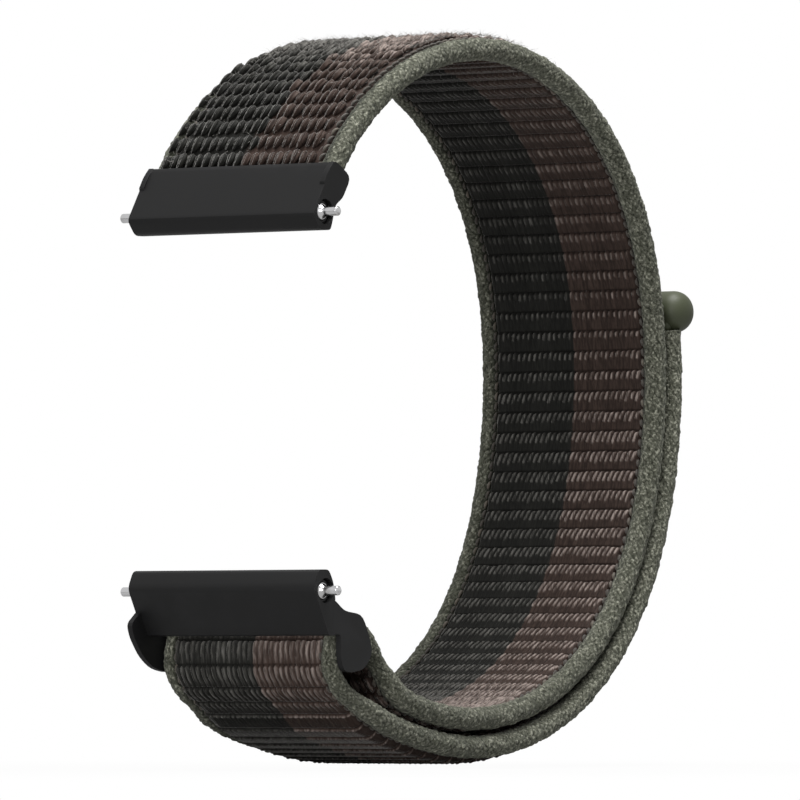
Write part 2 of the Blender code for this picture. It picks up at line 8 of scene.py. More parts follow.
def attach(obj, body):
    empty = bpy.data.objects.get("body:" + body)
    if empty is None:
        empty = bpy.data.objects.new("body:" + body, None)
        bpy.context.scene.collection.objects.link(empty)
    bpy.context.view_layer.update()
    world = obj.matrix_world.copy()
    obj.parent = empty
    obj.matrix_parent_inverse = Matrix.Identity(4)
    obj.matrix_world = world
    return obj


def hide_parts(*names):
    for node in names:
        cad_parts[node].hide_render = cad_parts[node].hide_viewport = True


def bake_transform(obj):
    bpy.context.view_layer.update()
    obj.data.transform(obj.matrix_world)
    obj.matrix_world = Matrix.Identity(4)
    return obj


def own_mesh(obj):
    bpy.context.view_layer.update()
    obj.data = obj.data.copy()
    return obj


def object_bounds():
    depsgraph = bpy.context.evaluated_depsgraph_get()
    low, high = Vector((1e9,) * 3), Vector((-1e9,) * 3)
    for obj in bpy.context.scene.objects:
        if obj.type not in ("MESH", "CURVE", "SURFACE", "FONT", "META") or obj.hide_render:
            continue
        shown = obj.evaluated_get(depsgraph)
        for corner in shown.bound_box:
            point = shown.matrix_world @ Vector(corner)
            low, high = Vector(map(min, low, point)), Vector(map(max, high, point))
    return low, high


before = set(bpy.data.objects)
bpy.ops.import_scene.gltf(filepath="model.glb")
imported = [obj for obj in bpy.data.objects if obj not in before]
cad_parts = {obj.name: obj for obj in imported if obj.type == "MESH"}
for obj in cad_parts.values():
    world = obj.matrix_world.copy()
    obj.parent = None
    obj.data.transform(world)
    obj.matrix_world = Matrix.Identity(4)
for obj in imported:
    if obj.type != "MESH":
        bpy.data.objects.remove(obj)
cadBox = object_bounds()
mm = 0.001
print("Frame loaded")


# Shader maths

class Wire:
    def __init__(self, tree, socket=None):
        self.tree = tree
        self.socket = socket

    def node(self, kind, settings=None, inputs=None, out=0):
        made = self.tree.nodes.new(kind)
        for key, value in (settings or {}).items():
            setattr(made, key, value)
        for key, value in (inputs or {}).items():
            if isinstance(value, Wire):
                self.tree.links.new(value.socket, made.inputs[key])
            else:
                made.inputs[key].default_value = value
        return Wire(self.tree, made.outputs[out])

    def math(self, operation, first, second=0.0, clamp=False):
        settings = {"operation": operation, "use_clamp": clamp}
        return self.node("ShaderNodeMath", settings, {0: first, 1: second})

    def __add__(self, other):
        return self.math("ADD", self, other)

    def __radd__(self, other):
        return self.math("ADD", other, self)

    def __sub__(self, other):
        return self.math("SUBTRACT", self, other)

    def __rsub__(self, other):
        return self.math("SUBTRACT", other, self)

    def __mul__(self, other):
        return self.math("MULTIPLY", self, other)

    def __rmul__(self, other):
        return self.math("MULTIPLY", other, self)

    def clamped(self):
        return self.math("ADD", self, 0.0, clamp=True)

    def between(self, low, high):
        settings = {"interpolation_type": "SMOOTHSTEP"}
        return self.node("ShaderNodeMapRange", settings, {0: self, 1: low, 2: high})

    def mixed(self, first, second):
        return self.node("ShaderNodeMix", {"data_type": "RGBA"}, {0: self, 6: first, 7: second}, out=2)

    def attribute(self, name):
        return self.node("ShaderNodeAttribute", {"attribute_name": name}, out=2)

    def noise(self, scale, detail, roughness=0.55):
        inputs = {"Vector": self, "Scale": scale, "Detail": detail, "Roughness": roughness}
        return self.node("ShaderNodeTexNoise", {}, inputs)

    def stretched(self, scale):
        return self.node("ShaderNodeMapping", {}, {"Vector": self, "Scale": scale})


def newMaterial(name, **fixed):
    material = bpy.data.materials.new(name)
    material.use_nodes = True
    shader = material.node_tree.nodes["Principled BSDF"]
    for key, value in fixed.items():
        shader.inputs[key.replace("_", " ")].default_value = value
    return material, shader, Wire(material.node_tree)


def colourOf(red, green, blue):
    return (red, green, blue, 1.0)


def objectPlace(wire):
    return wire.node("ShaderNodeTexCoord", out="Object")


def connect(shader, name, wire):
    wire.tree.links.new(wire.socket, shader.inputs[name])


def addBump(shader, height, strength, distance):
    inputs = {"Strength": strength, "Distance": distance, "Height": height}
    connect(shader, "Normal", height.node("ShaderNodeBump", {}, inputs))


# Woven face: two yarn colours side by side, painted shade in the grooves and painted highlights where the yarns
# stand high, fine threads along each yarn
webLook = {
    "darkYarn": colourOf(0.017, 0.0168, 0.0145), "brownYarn": colourOf(0.060, 0.040, 0.0325),
    "darkGrooveShade": colourOf(0.003, 0.003, 0.0025), "brownGrooveShade": colourOf(0.008, 0.0048, 0.0038),
    "darkHighlight": colourOf(0.170, 0.164, 0.150), "brownHighlight": colourOf(0.375, 0.310, 0.278),
    "oliveYarn": colourOf(0.050, 0.047, 0.028), "sheen": colourOf(0.9, 0.88, 0.84),
    "threads": (0.9, 4.8, 1.0), "oliveFrom": 0.93, "fineSpan": (0.37, 0.63), "grooveShadeSpan": (0.0, 0.45),
    "highlightSpan": (0.42, 0.95), "bump": (0.85, 0.00014),
}


def makeWebMaterial():
    material, shader, wire = newMaterial("webWeave", Sheen_Weight=0.50, Sheen_Roughness=0.22,
                                         Sheen_Tint=webLook["sheen"], Specular_IOR_Level=0.15)
    flat = wire.node("ShaderNodeUVMap", {"uv_map": "strapMap"})
    tone, rise, shade = (wire.attribute(name) for name in ("tone", "rise", "shade"))
    threads = flat.stretched(webLook["threads"]).noise(1.0, 3.0)
    fluff = flat.noise(6.0, 4.0, 0.7)
    body = tone.mixed(webLook["darkYarn"], webLook["brownYarn"])
    body = ((shade - webLook["oliveFrom"]) * 14.0).clamped().mixed(body, webLook["oliveYarn"])
    # Painted shade: the groove colours stand for shade deep between yarns and rows; painted highlight: the pale
    # colours stand for light caught on the raised threads
    grooveShade = tone.mixed(webLook["darkGrooveShade"], webLook["brownGrooveShade"])
    pale = tone.mixed(webLook["darkHighlight"], webLook["brownHighlight"])
    fine = threads.between(*webLook["fineSpan"])
    outOfShade = (rise.between(*webLook["grooveShadeSpan"]) * (0.40 + 0.35 * shade + 0.55 * fine)).clamped()
    highlightShare = (rise.between(*webLook["highlightSpan"]) * (fine + 0.22) * (0.30 + 0.75 * shade)).clamped()
    connect(shader, "Base Color", highlightShare.mixed(outOfShade.mixed(grooveShade, body), pale))
    connect(shader, "Roughness", 0.80 - 0.25 * threads)
    addBump(shader, threads * 0.7 + fluff * 0.3, *webLook["bump"])
    return material


# Braided edge: small olive strands with lighter and darker fibres; the deep colour is painted shade between the
# strands and on the flank facing the web
pipingLook = {
    "strand": colourOf(0.118, 0.122, 0.092), "deep": colourOf(0.014, 0.015, 0.010),
    "pale": colourOf(0.430, 0.430, 0.350), "sheen": colourOf(0.85, 0.88, 0.78),
    "fibres": (3600.0, 3.0, 0.65), "patches": (900.0, 2.0), "fleckSpan": (0.48, 0.66), "bump": (1.0, 0.00018),
}


def makePipingMaterial():
    material, shader, wire = newMaterial("edgeWeave", Sheen_Weight=0.2, Sheen_Roughness=0.5,
                                         Sheen_Tint=pipingLook["sheen"], Specular_IOR_Level=0.12, Roughness=0.85)
    place = objectPlace(wire)
    rise, shade = wire.attribute("rise"), wire.attribute("shade")
    fibres, patches = place.noise(*pipingLook["fibres"]), place.noise(*pipingLook["patches"])
    # Painted shade: where rise is low the strands take the deep colour
    mixture = (rise.between(0.0, 0.9) * (0.35 + 0.55 * shade + 0.8 * (fibres - 0.2))).clamped()
    body = mixture.mixed(pipingLook["deep"], pipingLook["strand"])
    flecks = fibres.between(*pipingLook["fleckSpan"]) * (0.4 + 0.6 * shade) + (patches - 0.5) * 0.5
    flecks = flecks.clamped() * rise
    connect(shader, "Base Color", flecks.mixed(body, pipingLook["pale"]))
    addBump(shader, fibres, *pipingLook["bump"])
    return material


seamLook = {"thread": colourOf(0.045, 0.038, 0.030), "glint": colourOf(0.200, 0.170, 0.130),
            "fibres": (6000.0, 2.0), "bump": (0.6, 0.00006)}


def makeSeamMaterial():
    material, shader, wire = newMaterial("seamThread", Roughness=0.6, Sheen_Weight=0.2)
    shade = wire.attribute("shade")
    place = objectPlace(wire)
    fibres = place.noise(*seamLook["fibres"])
    glints = (shade.between(0.55, 1.0) * 0.5 + (fibres - 0.5) * 0.9).clamped()
    connect(shader, "Base Color", glints.mixed(seamLook["thread"], seamLook["glint"]))
    addBump(shader, fibres, *seamLook["bump"])
    return material


# Satin black coating with a fine grain; the edges are rubbed a little lighter. The lower adapter gets a lighter
# copy of the coat as painted light
blackLook = {"upperCoat": colourOf(0.0085, 0.0085, 0.0087), "lowerLitCoat": colourOf(0.0112, 0.0112, 0.0114),
             "rubbed": colourOf(0.018, 0.018, 0.019), "grain": (9000.0, 2.0), "cloud": (260.0, 3.0),
             "edgeSpan": (0.52, 0.62), "bump": (0.18, 0.00002)}


def makeBlackMaterial(name, coat):
    material, shader, wire = newMaterial(name, Specular_IOR_Level=0.22)
    place = objectPlace(wire)
    grain, cloud = place.noise(*blackLook["grain"]), place.noise(*blackLook["cloud"])
    edges = wire.node("ShaderNodeNewGeometry", out="Pointiness").between(*blackLook["edgeSpan"])
    rub = (edges * 0.6 * cloud.between(0.35, 0.7)).clamped()
    connect(shader, "Base Color", rub.mixed(blackLook[coat], blackLook["rubbed"]))
    connect(shader, "Roughness", 0.40 + 0.10 * cloud + 0.05 * grain)
    addBump(shader, grain, *blackLook["bump"])
    return material


steelLook = {"steel": colourOf(0.84, 0.84, 0.85), "worn": colourOf(0.60, 0.59, 0.58),
             "cloud": (700.0, 3.0), "lines": (9000.0, 700.0, 9000.0), "bump": (0.10, 0.00002)}


def makeSteelMaterial():
    material, shader, wire = newMaterial("polishedSteel", Metallic=1.0)
    place = objectPlace(wire)
    cloud, lines = place.noise(*steelLook["cloud"]), place.stretched(steelLook["lines"]).noise(1.0, 1.0)
    connect(shader, "Base Color", cloud.between(0.4, 0.8).mixed(steelLook["steel"], steelLook["worn"]))
    connect(shader, "Roughness", 0.10 + 0.12 * cloud)
    addBump(shader, lines, *steelLook["bump"])
    return material


tabLook = {"olive": colourOf(0.064, 0.072, 0.042), "cloudy": colourOf(0.054, 0.061, 0.034),
           "cloud": (300.0, 3.0), "grain": (7000.0, 2.0), "bump": (0.15, 0.00002)}


def makeTabMaterial():
    material, shader, wire = newMaterial("tabPlastic", Specular_IOR_Level=0.35)
    place = objectPlace(wire)
    cloud, grain = place.noise(*tabLook["cloud"]), place.noise(*tabLook["grain"])
    connect(shader, "Base Color", cloud.mixed(tabLook["olive"], tabLook["cloudy"]))
    connect(shader, "Roughness", 0.44 + 0.10 * cloud)
    addBump(shader, grain, *tabLook["bump"])
    return material


hookLook = {"backing": colourOf(0.022, 0.022, 0.021), "hook": colourOf(0.050, 0.050, 0.048),
            "weave": (3000.0, 2.0), "bump": (0.4, 0.00005)}


def makeHookMaterial():
    material, shader, wire = newMaterial("hookTape", Specular_IOR_Level=0.45)
    place = objectPlace(wire)
    rise = wire.attribute("rise")
    weave = place.noise(*hookLook["weave"])
    share = (rise * 0.8 + weave * 0.3).clamped()
    connect(shader, "Base Color", share.mixed(hookLook["backing"], hookLook["hook"]))
    connect(shader, "Roughness", 0.5 + 0.2 * weave)
    addBump(shader, weave, *hookLook["bump"])
    return material


fuzzLook = {"fibre": colourOf(0.46, 0.44, 0.41), "darker": colourOf(0.16, 0.15, 0.14),
            "patches": (600.0, 2.0), "patchSpan": (0.35, 0.65)}


def makeFuzzMaterial():
    material, shader, wire = newMaterial("looseFibre", Roughness=0.6, Specular_IOR_Level=0.3)
    place = objectPlace(wire)
    patches = place.noise(*fuzzLook["patches"]).between(*fuzzLook["patchSpan"])
    connect(shader, "Base Color", patches.mixed(fuzzLook["darker"], fuzzLook["fibre"]))
    return material


looks = {
    "web": makeWebMaterial(), "piping": makePipingMaterial(), "seam": makeSeamMaterial(),
    "upper": makeBlackMaterial("satinBlack", "upperCoat"),
    # Painted light: the lower adapter's black is a lighter copy of the same coat
    "lower": makeBlackMaterial("satinBlackPaintedLight", "lowerLitCoat"),
    "steel": makeSteelMaterial(), "tab": makeTabMaterial(), "hook": makeHookMaterial(),
    "fuzz": makeFuzzMaterial(),
}
print("Materials made")


# Route of the strap in the side view, in millimetres: X and Z, from the upper adapter to the tail's end
route = {
    "loopCentre": (24.5, 1.85), "loopRadius": 30.07,
    "oval": (0.0417, 71.0), "egg": (0.0126, -46.4), "square": (0.0092, 39.8),
    "railCentre": (5.7, -22.5), "turnRadius": 2.5, "turnFirst": 58.0, "turnLast": 165.0,
    "rodCentre": (1.75, 19.15), "hemLean": 33.0, "hemLength": 2.3, "flexGap": 0.35, "tucked": 0.6,
    "runFirst": 128.0, "runLast": -111.0, "tailFirst": -119.0, "tailLast": 13.0, "tabAngle": 10.0,
    "layerPitch": 2.6, "tailRise": 0.35, "tailRiseRamp": 16.0, "leaveFullness": 1.4,
    "step": 0.05, "smoothing": 14.0, "smoothReach": 40, "nipped": (4.0, 3.0),
}


def circle(count):
    return np.linspace(0, 2 * pi, count, endpoint=False)


def crossed(*axes):
    # Every combination of the values on the axes, as one column for each axis
    return (grid.reshape(-1, 1) for grid in np.meshgrid(*axes, indexing="ij"))


def smooth(share):
    share = np.clip(share, 0, 1)
    return share * share * (3 - 2 * share)


def grown(s, span):
    # 0 up to the first length of the span, 1 from its reach onwards
    return smooth((s - span[0]) / span[1])


def toward(first, second, share):
    return first + (second - first) * share


def loopPoints(angles, outward=0.0):
    waves = zip((2, 3, 4), (route["oval"], route["egg"], route["square"]))
    bend = 1 + sum(share * np.cos(np.radians(count * (angles - peak))) for count, (share, peak) in waves)
    out = route["loopRadius"] * bend + outward
    way = np.stack([np.cos(np.radians(angles)), np.sin(np.radians(angles))], 1)
    return np.array(route["loopCentre"]) + way * out[:, None]


def tailPoints(angles):
    rise = route["tailRise"] * (1 - smooth((angles - route["tailFirst"]) / route["tailRiseRamp"]))
    return loopPoints(angles, route["layerPitch"] + rise)


def waysOf(points):
    ways = np.gradient(points, axis=0)
    return ways / np.linalg.norm(ways, axis=1)[:, None]


def bridgeCurve(start, startWay, end, endWay, fullness=1.0, count=120):
    t = np.linspace(0, 1, count)[:, None]
    pull = np.linalg.norm(end - start) * fullness
    return (start * (2 * t**3 - 3 * t**2 + 1) + startWay * pull * (t**3 - 2 * t**2 + t)
            + end * (3 * t**2 - 2 * t**3) + endWay * pull * (t**3 - t**2))


def lengthsAlong(points):
    return np.concatenate([[0], np.cumsum(np.linalg.norm(np.diff(points, axis=0), axis=1))])


def makeRoute():
    lean = radians(route["hemLean"])
    hemWay = np.array([sin(lean), cos(lean)])
    mouth = np.array(route["rodCentre"]) + hemWay * route["hemLength"]
    start = mouth + hemWay * route["flexGap"]
    run = loopPoints(np.arange(route["runFirst"], route["runLast"] - 0.1, -0.25))
    tail = tailPoints(np.arange(route["tailFirst"], route["tailLast"] + 0.1, 0.25))
    turn = np.radians(np.arange(route["turnFirst"], route["turnLast"] + 0.5, 1.0))
    rail = np.array(route["railCentre"]) + route["turnRadius"] * np.stack([np.cos(turn), np.sin(turn)], 1)
    parts = [
        mouth + hemWay * np.linspace(-route["tucked"] - 1, route["flexGap"], 20)[:, None],
        bridgeCurve(start, hemWay, run[0], waysOf(run)[0]), run,
        bridgeCurve(run[-1], waysOf(run)[-1], rail[0], waysOf(rail)[0]), rail,
        bridgeCurve(rail[-1], waysOf(rail)[-1], tail[0], waysOf(tail)[0], route["leaveFullness"]), tail,
    ]
    points = np.concatenate([part[:-1] for part in parts] + [tail[-1:]])
    along = lengthsAlong(points)
    even = np.arange(0, along[-1], route["step"])
    points = np.stack([np.interp(even, along, points[:, k]) for k in (0, 1)], 1)
    reach = route["smoothReach"]
    kernel = np.exp(-0.5 * (np.arange(-reach, reach + 1) / route["smoothing"]) ** 2)
    kernel /= kernel.sum()
    before = points[0] - (points[1] - points[0]) * np.arange(reach, 0, -1)[:, None]
    after = points[-1] + (points[-1] - points[-2]) * np.arange(1, reach + 1)[:, None]
    longer = np.concatenate([before, points, after])
    points = np.stack([np.convolve(longer[:, k], kernel, "valid") for k in (0, 1)], 1)
    ways = waysOf(points)
    return lengthsAlong(points) - route["tucked"] - 1, points, np.stack([-ways[:, 1], ways[:, 0]], 1)


alongRoute, routePoints, routeNormals = makeRoute()
routeAngles = np.degrees(np.arctan2(routePoints[:, 1] - route["loopCentre"][1],
                                    routePoints[:, 0] - route["loopCentre"][0]))


def atLength(s, table):
    return np.stack([np.interp(s, alongRoute, table[:, k]) for k in (0, 1)], -1)


def lengthNear(x, z, fromLength=0.0):
    gap = np.linalg.norm(routePoints - np.array([x, z]), axis=1)
    gap[alongRoute < fromLength] = 1e6
    return float(alongRoute[np.argmin(gap)])


def placeOn(s, across, height):
    # Height counts to the left of the route, the side with the loop pile
    middle, normal = atLength(s, routePoints), atLength(s, routeNormals)
    spot = middle + normal * height[..., None]
    return np.stack(np.broadcast_arrays(spot[..., 0], across, spot[..., 1]), -1) * mm


def turnShare(s):
    # 1 where the strap is nipped in the slot and round the rail, 0 away from it
    gap = np.linalg.norm(atLength(s, routePoints) - np.array(route["railCentre"]), axis=-1)
    return 1 - grown(gap, route["nipped"])


lastLength = lengthNear(*tailPoints(np.array([route["tabAngle"]]))[0], 150.0)
rowPitch, rowStart = 1.94, -0.4
print("Strap length", round(lastLength, 1), "mm")


def scatter(*keys):
    # A repeatable number from 0 to 1 for whole-number keys
    mix = np.zeros(np.broadcast(*keys).shape)
    for weight, key in zip((12.9898, 78.233, 37.719), keys):
        mix = mix + np.asarray(key, float) * weight
    return np.modf(np.abs(np.sin(mix) * 43758.5453))[0]


def dome(share, power):
    return np.sqrt(np.clip(1 - np.abs(2 * share - 1) ** power, 0, 1))


def newObject(name, mesh):
    made = bpy.data.objects.new(name, mesh)
    bpy.context.scene.collection.objects.link(made)
    return made


def meshPiece(name, points, faces, look, attributes=None, maps=None):
    mesh = bpy.data.meshes.new(name)
    mesh.vertices.add(len(points))
    mesh.vertices.foreach_set("co", np.asarray(points, np.float32).ravel())
    mesh.loops.add(faces.size)
    mesh.loops.foreach_set("vertex_index", faces.astype(np.int32).ravel())
    mesh.polygons.add(len(faces))
    mesh.polygons.foreach_set("loop_start", np.arange(0, faces.size, faces.shape[1], dtype=np.int32))
    mesh.update(calc_edges=True)
    for key, values in (attributes or {}).items():
        layer = mesh.attributes.new(key, "FLOAT", "POINT")
        layer.data.foreach_set("value", np.asarray(values, np.float32).ravel())
    if maps is not None:
        layer = mesh.uv_layers.new(name="strapMap")
        layer.data.foreach_set("uv", np.asarray(maps, np.float32)[faces.ravel()].ravel())
    mesh.shade_smooth()
    mesh.materials.append(looks[look])
    piece = newObject(name, mesh)
    return piece


def ringFaces(rows, ring):
    # Quads of a closed tube: rows of rings, each ring closed on itself
    row, column = np.meshgrid(np.arange(rows - 1), np.arange(ring), indexing="ij")
    beside = (column + 1) % ring
    return np.stack([row * ring + column, row * ring + beside,
                     (row + 1) * ring + beside, (row + 1) * ring + column], -1).reshape(-1, 4)


# Web: flat ribs of fine yarn on one face, a plain ground for the pile on the other
web = {
    "halfWidth": 8.4, "sideWidth": 0.12, "yarnPitch": 0.6, "yarnShares": (0.0, 0.14, 0.32, 0.5, 0.68, 0.86),
    "rowSamples": (0, 0.03, 0.07, 0.11, 0.16, 0.22, 0.29, 0.38, 0.50, 0.62, 0.74, 0.84, 0.91, 0.96),
    "groundColumns": 21, "ribDepth": 0.26, "slitDepth": 0.17, "scallop": 0.11, "ragged": 0.06,
    "ribRun": 0.92, "ribTail": 1.52, "ribNipped": 0.80, "ribBase": 0.35, "edgeRound": 0.5, "edgeLeast": 0.3,
    "ribTone": -0.30, "ground": 0.50, "groundOpen": 0.34, "groundNipped": 0.40, "groundWave": 0.10,
    "groundRise": 0.36,
}
# Where the ribbed face changes, in millimetres along the strap: the start, and how far the change takes
changes = {
    "calmEnd": (28.0, 16.0), "evenEnd": (54.0, 14.0), "bentStart": (60.0, 16.0), "bentEnd": (120.0, 8.0),
    "longerDash": (66.0, 14.0), "openStart": (103.0, 12.0), "openEnd": (148.0, 6.0), "thinStart": (149.0, 5.0),
    "railFrom": 125.0, "leavesRail": (3.0, 9.0), "tailFrom": 130,
}
# The pale dash at the head of each yarn in a rib, a painted highlight, the painted shade in the slits beside it,
# and how bright the flat yarn behind it is painted
dash = {
    "lift": 0.10, "lean": -1.35, "leanReach": 0.55, "leanMiddle": 0.25,
    "end": 0.22, "endChance": 0.14, "endEarly": 0.12, "endLate": 0.22, "fade": 0.10, "thinEnd": 0.08,
    "width": 0.19, "bentWidth": 0.08, "openWidth": 0.16, "evenLevel": 0.8, "evenMost": 0.60,
    "level": 0.50, "bentLevel": 0.33, "chanceLevel": 0.30, "calmHighlightLoss": 0.70, "tailHighlightLoss": 0.38,
    "dashHighlight": 0.70, "bentDashHighlight": 0.14, "slitShade": 0.20, "bentSlitShade": 0.18,
    "flat": 0.20, "calmShade": 0.05, "bulgeHighlight": 0.05, "streakFlat": 0.11, "openFlat": 0.16,
}


def rowOf(s):
    count = (s - rowStart) / rowPitch
    return np.floor(count), count - np.floor(count)


def outwardShare(s):
    # 0 on the main run, 1 on the tail, blended on the way out of the rail
    turned = lengthNear(*route["railCentre"], changes["railFrom"])
    return grown(s - turned, changes["leavesRail"])


def openShare(s):
    # The yarns part where the ribbed face is stretched: low in the loop and on the tail below the rail
    return grown(s, changes["openStart"]) * (1 - grown(s, changes["openEnd"]))


def edgeShare(across, rounding):
    inside = np.clip((web["halfWidth"] - np.abs(across)) / rounding, 0, 1)
    return np.sqrt(np.clip(1 - (1 - inside) ** 2, 0, 1))


def ribHeight(s, across):
    row, u = rowOf(s)
    opened, thin = openShare(s), grown(s, changes["thinStart"])
    calm, early = 1 - grown(s, changes["calmEnd"]), 1 - grown(s, changes["evenEnd"])
    bent = grown(s, changes["bentStart"]) * (1 - grown(s, changes["bentEnd"]))
    column = (across + 0 * s) / web["yarnPitch"]
    leaning = column + dash["lean"] * bent * (np.clip(u, 0, dash["leanReach"]) - dash["leanMiddle"])
    yarn = np.floor(leaning + 1e-6)
    v = leaning - yarn
    chance, streak, other = scatter(row, yarn), scatter(yarn, 5), scatter(row, yarn, 13)
    bulge = np.clip(1 - (2 * v - 1) ** 2, 0, 1)
    even = np.maximum(thin, dash["evenMost"] * early)
    stroke = np.exp(-((v - 0.5) / (dash["width"] + dash["bentWidth"] * bent + dash["openWidth"] * opened)) ** 2)
    stroke = toward(stroke, dash["evenLevel"], even)
    stroke = stroke * (dash["level"] + dash["bentLevel"] * np.maximum(bent, thin) + dash["chanceLevel"] * other)
    start = (web["scallop"] * (1 - bulge) * (1 - 0.7 * even)
             + web["ragged"] * (chance - 0.5) * (1 - 0.5 * thin))
    rising = smooth((u - start) / 0.08)
    closing = 1 - smooth((u - 0.95 + 0.02 * chance) / 0.05)
    falling = 1 - 0.35 * smooth((u - 0.25) / 0.7)
    finish = (dash["end"] + dash["endChance"] * other + dash["endEarly"] * early
              + dash["endLate"] * grown(s, changes["longerDash"]))
    headed = rising * (1 - smooth((u - finish + (finish - dash["thinEnd"]) * thin) / dash["fade"]))
    parted = opened * rising * closing * (1 - 0.6 * smooth((u - 0.60) / 0.35))
    lifted = np.maximum(headed, 0.9 * parted)
    ridge = rising * falling * (0.45 + 0.55 * closing)
    slit = (1 - bulge) ** 2 * (0.2 + 0.8 * lifted) * rising * (1 - 0.7 * calm) * (1 - 0.8 * even)
    top = toward(toward(web["ribRun"], web["ribTail"], outwardShare(s)), web["ribNipped"], turnShare(s))
    height = top - web["ribDepth"] * (1 - ridge) + dash["lift"] * headed * bulge - web["slitDepth"] * slit
    edge = edgeShare(across, web["edgeRound"] * (1 + outwardShare(s)))
    height = toward(web["ribBase"], height, toward(web["edgeLeast"], 1, edge))
    tone = ((np.floor(column + 1e-6) + 0.5) * web["yarnPitch"] < web["ribTone"]).astype(float)
    # Painted light in rise: the flat yarn is painted lighter over each yarn's middle, and darker at the row
    # grooves and near the top of the loop, where the inner face looks down
    flat = (dash["flat"] - dash["calmShade"] * calm + dash["bulgeHighlight"] * bulge
            + dash["streakFlat"] * streak + dash["openFlat"] * opened)
    flat = flat * np.clip(0.60 + 0.40 * rising * closing, 0, 1)
    # Painted highlight on the dashes, weaker near the top of the loop and on the tail; painted shade in the slits
    # between yarns
    dashHighlight = np.maximum(headed, 0.85 * parted) * stroke * (1 - dash["calmHighlightLoss"] * calm)
    dashHighlight = dashHighlight * (1 - dash["tailHighlightLoss"] * (s > changes["tailFrom"]) * (1 - thin))
    slitShade = lifted * (1 - bulge) ** 2 * (0.25 + 0.75 * chance) * (1 - calm) * (1 - thin)
    rise = (flat + (dash["dashHighlight"] + dash["bentDashHighlight"] * np.maximum(bent, opened)) * dashHighlight
            - (dash["slitShade"] + dash["bentSlitShade"] * bent) * slitShade)
    return height, tone, np.clip(rise, 0, 1), 0.45 + 0.45 * chance


def rowLengths(first, last):
    # Every row of the weave is cut at the same shares of its width, closer together by the grooves
    lowest, highest = (int((s - rowStart) // rowPitch) for s in (first, last))
    places = [rowStart + rowPitch * (row + share) for row in range(lowest, highest + 1)
              for share in web["rowSamples"]]
    return np.array([first] + [s for s in places if first + 0.03 < s < last - 0.03] + [last])


def webPiece(name, first, last):
    s = rowLengths(first, last)[:, None]
    ground = np.linspace(-web["halfWidth"], web["halfWidth"], web["groundColumns"])[None, :]
    yarns = int(round(web["halfWidth"] / web["yarnPitch"]))
    ribbed = np.array([(yarn + share) * web["yarnPitch"] for yarn in range(-yarns, yarns)
                       for share in web["yarnShares"]] + [web["halfWidth"]])[None, :]
    height, tone, rise, shade = (part[:, ::-1] for part in ribHeight(s, ribbed))
    lifted = np.clip((pileTop(s) - tuft["tail"]) / (tuft["crown"] - tuft["tail"]), 0, 1)
    level = toward(web["ground"] + web["groundOpen"] * lifted, web["groundNipped"], turnShare(s))
    groundHeight = level + web["groundWave"] * np.sin(pi * rowOf(s)[1]) + 0 * ground
    groundTone = (ground < tuft["tone"] + pileAside(s)).astype(float)
    low, zero = web["groundRise"] + 0 * (s + ground), 0 * s
    # Once round the web: the ground, one side, the ribs and the other side
    side = web["halfWidth"] + web["sideWidth"]
    across = np.concatenate([ground, [[side]], ribbed[:, ::-1], [[-side]]], 1) + zero
    ring = placeOn(s, across, np.concatenate([groundHeight, zero, -height, zero], 1))
    # The side walls get no rise, so they take the painted groove shade
    attributes = {
        "tone": np.concatenate([groundTone, zero, tone, zero + 1], 1),
        "rise": np.concatenate([low, zero, rise, zero], 1),
        "shade": np.concatenate([low, zero, shade, zero], 1),
    }
    maps = np.stack([(s + 0 * across).ravel(), across.ravel()], -1)
    return closedPiece(name, ring, "web", attributes, maps)


def closedPiece(name, ring, look, attributes, maps=None):
    # A tube of rings whose ends are flat with a sharp rim, so the shading runs on across a join
    rows, count = ring.shape[:2]
    attributes = {key: np.broadcast_to(value, (rows, count)) for key, value in attributes.items()}
    piece = meshPiece(name, ring.reshape(-1, 3), ringFaces(rows, count), look, attributes, maps)
    shell = bmesh.new()
    shell.from_mesh(piece.data)
    shell.verts.ensure_lookup_table()
    for base in (0, (rows - 1) * count):
        end = shell.faces.new([shell.verts[base + k] for k in range(count)])
        for edge in end.edges:
            edge.smooth = False
    bmesh.ops.recalc_face_normals(shell, faces=shell.faces)
    shell.to_mesh(piece.data)
    shell.free()
    return piece


def strandsPiece(name, look, s, across, height, radius, sides, attributes=None):
    # Many short strands at once, each a tube: one row of lengths, places across and heights per strand
    centre = np.stack(np.broadcast_arrays(s, across, height), -1)
    way = np.gradient(centre, axis=1)
    way /= np.linalg.norm(way, axis=2)[..., None] + 1e-9
    first = np.cross(way, np.array([0.12, 0.96, 0.25]))
    first /= np.linalg.norm(first, axis=2)[..., None]
    second = np.cross(way, first)
    around = circle(sides)
    reach = radius[..., None, None]
    spot = (centre[:, :, None] + reach * np.cos(around)[:, None] * first[:, :, None]
            + reach * np.sin(around)[:, None] * second[:, :, None])
    points = placeOn(spot[..., 0], spot[..., 1], spot[..., 2]).reshape(-1, 3)
    count, rings = centre.shape[:2]
    one = ringFaces(rings, sides)
    faces = (one[None] + (np.arange(count) * rings * sides)[:, None, None]).reshape(-1, 4)
    spread = {key: np.broadcast_to(value[..., None], (count, rings, sides)) for key, value in
              (attributes or {}).items()}
    return meshPiece(name, points, faces, look, spread, spot[..., :2].reshape(-1, 2))


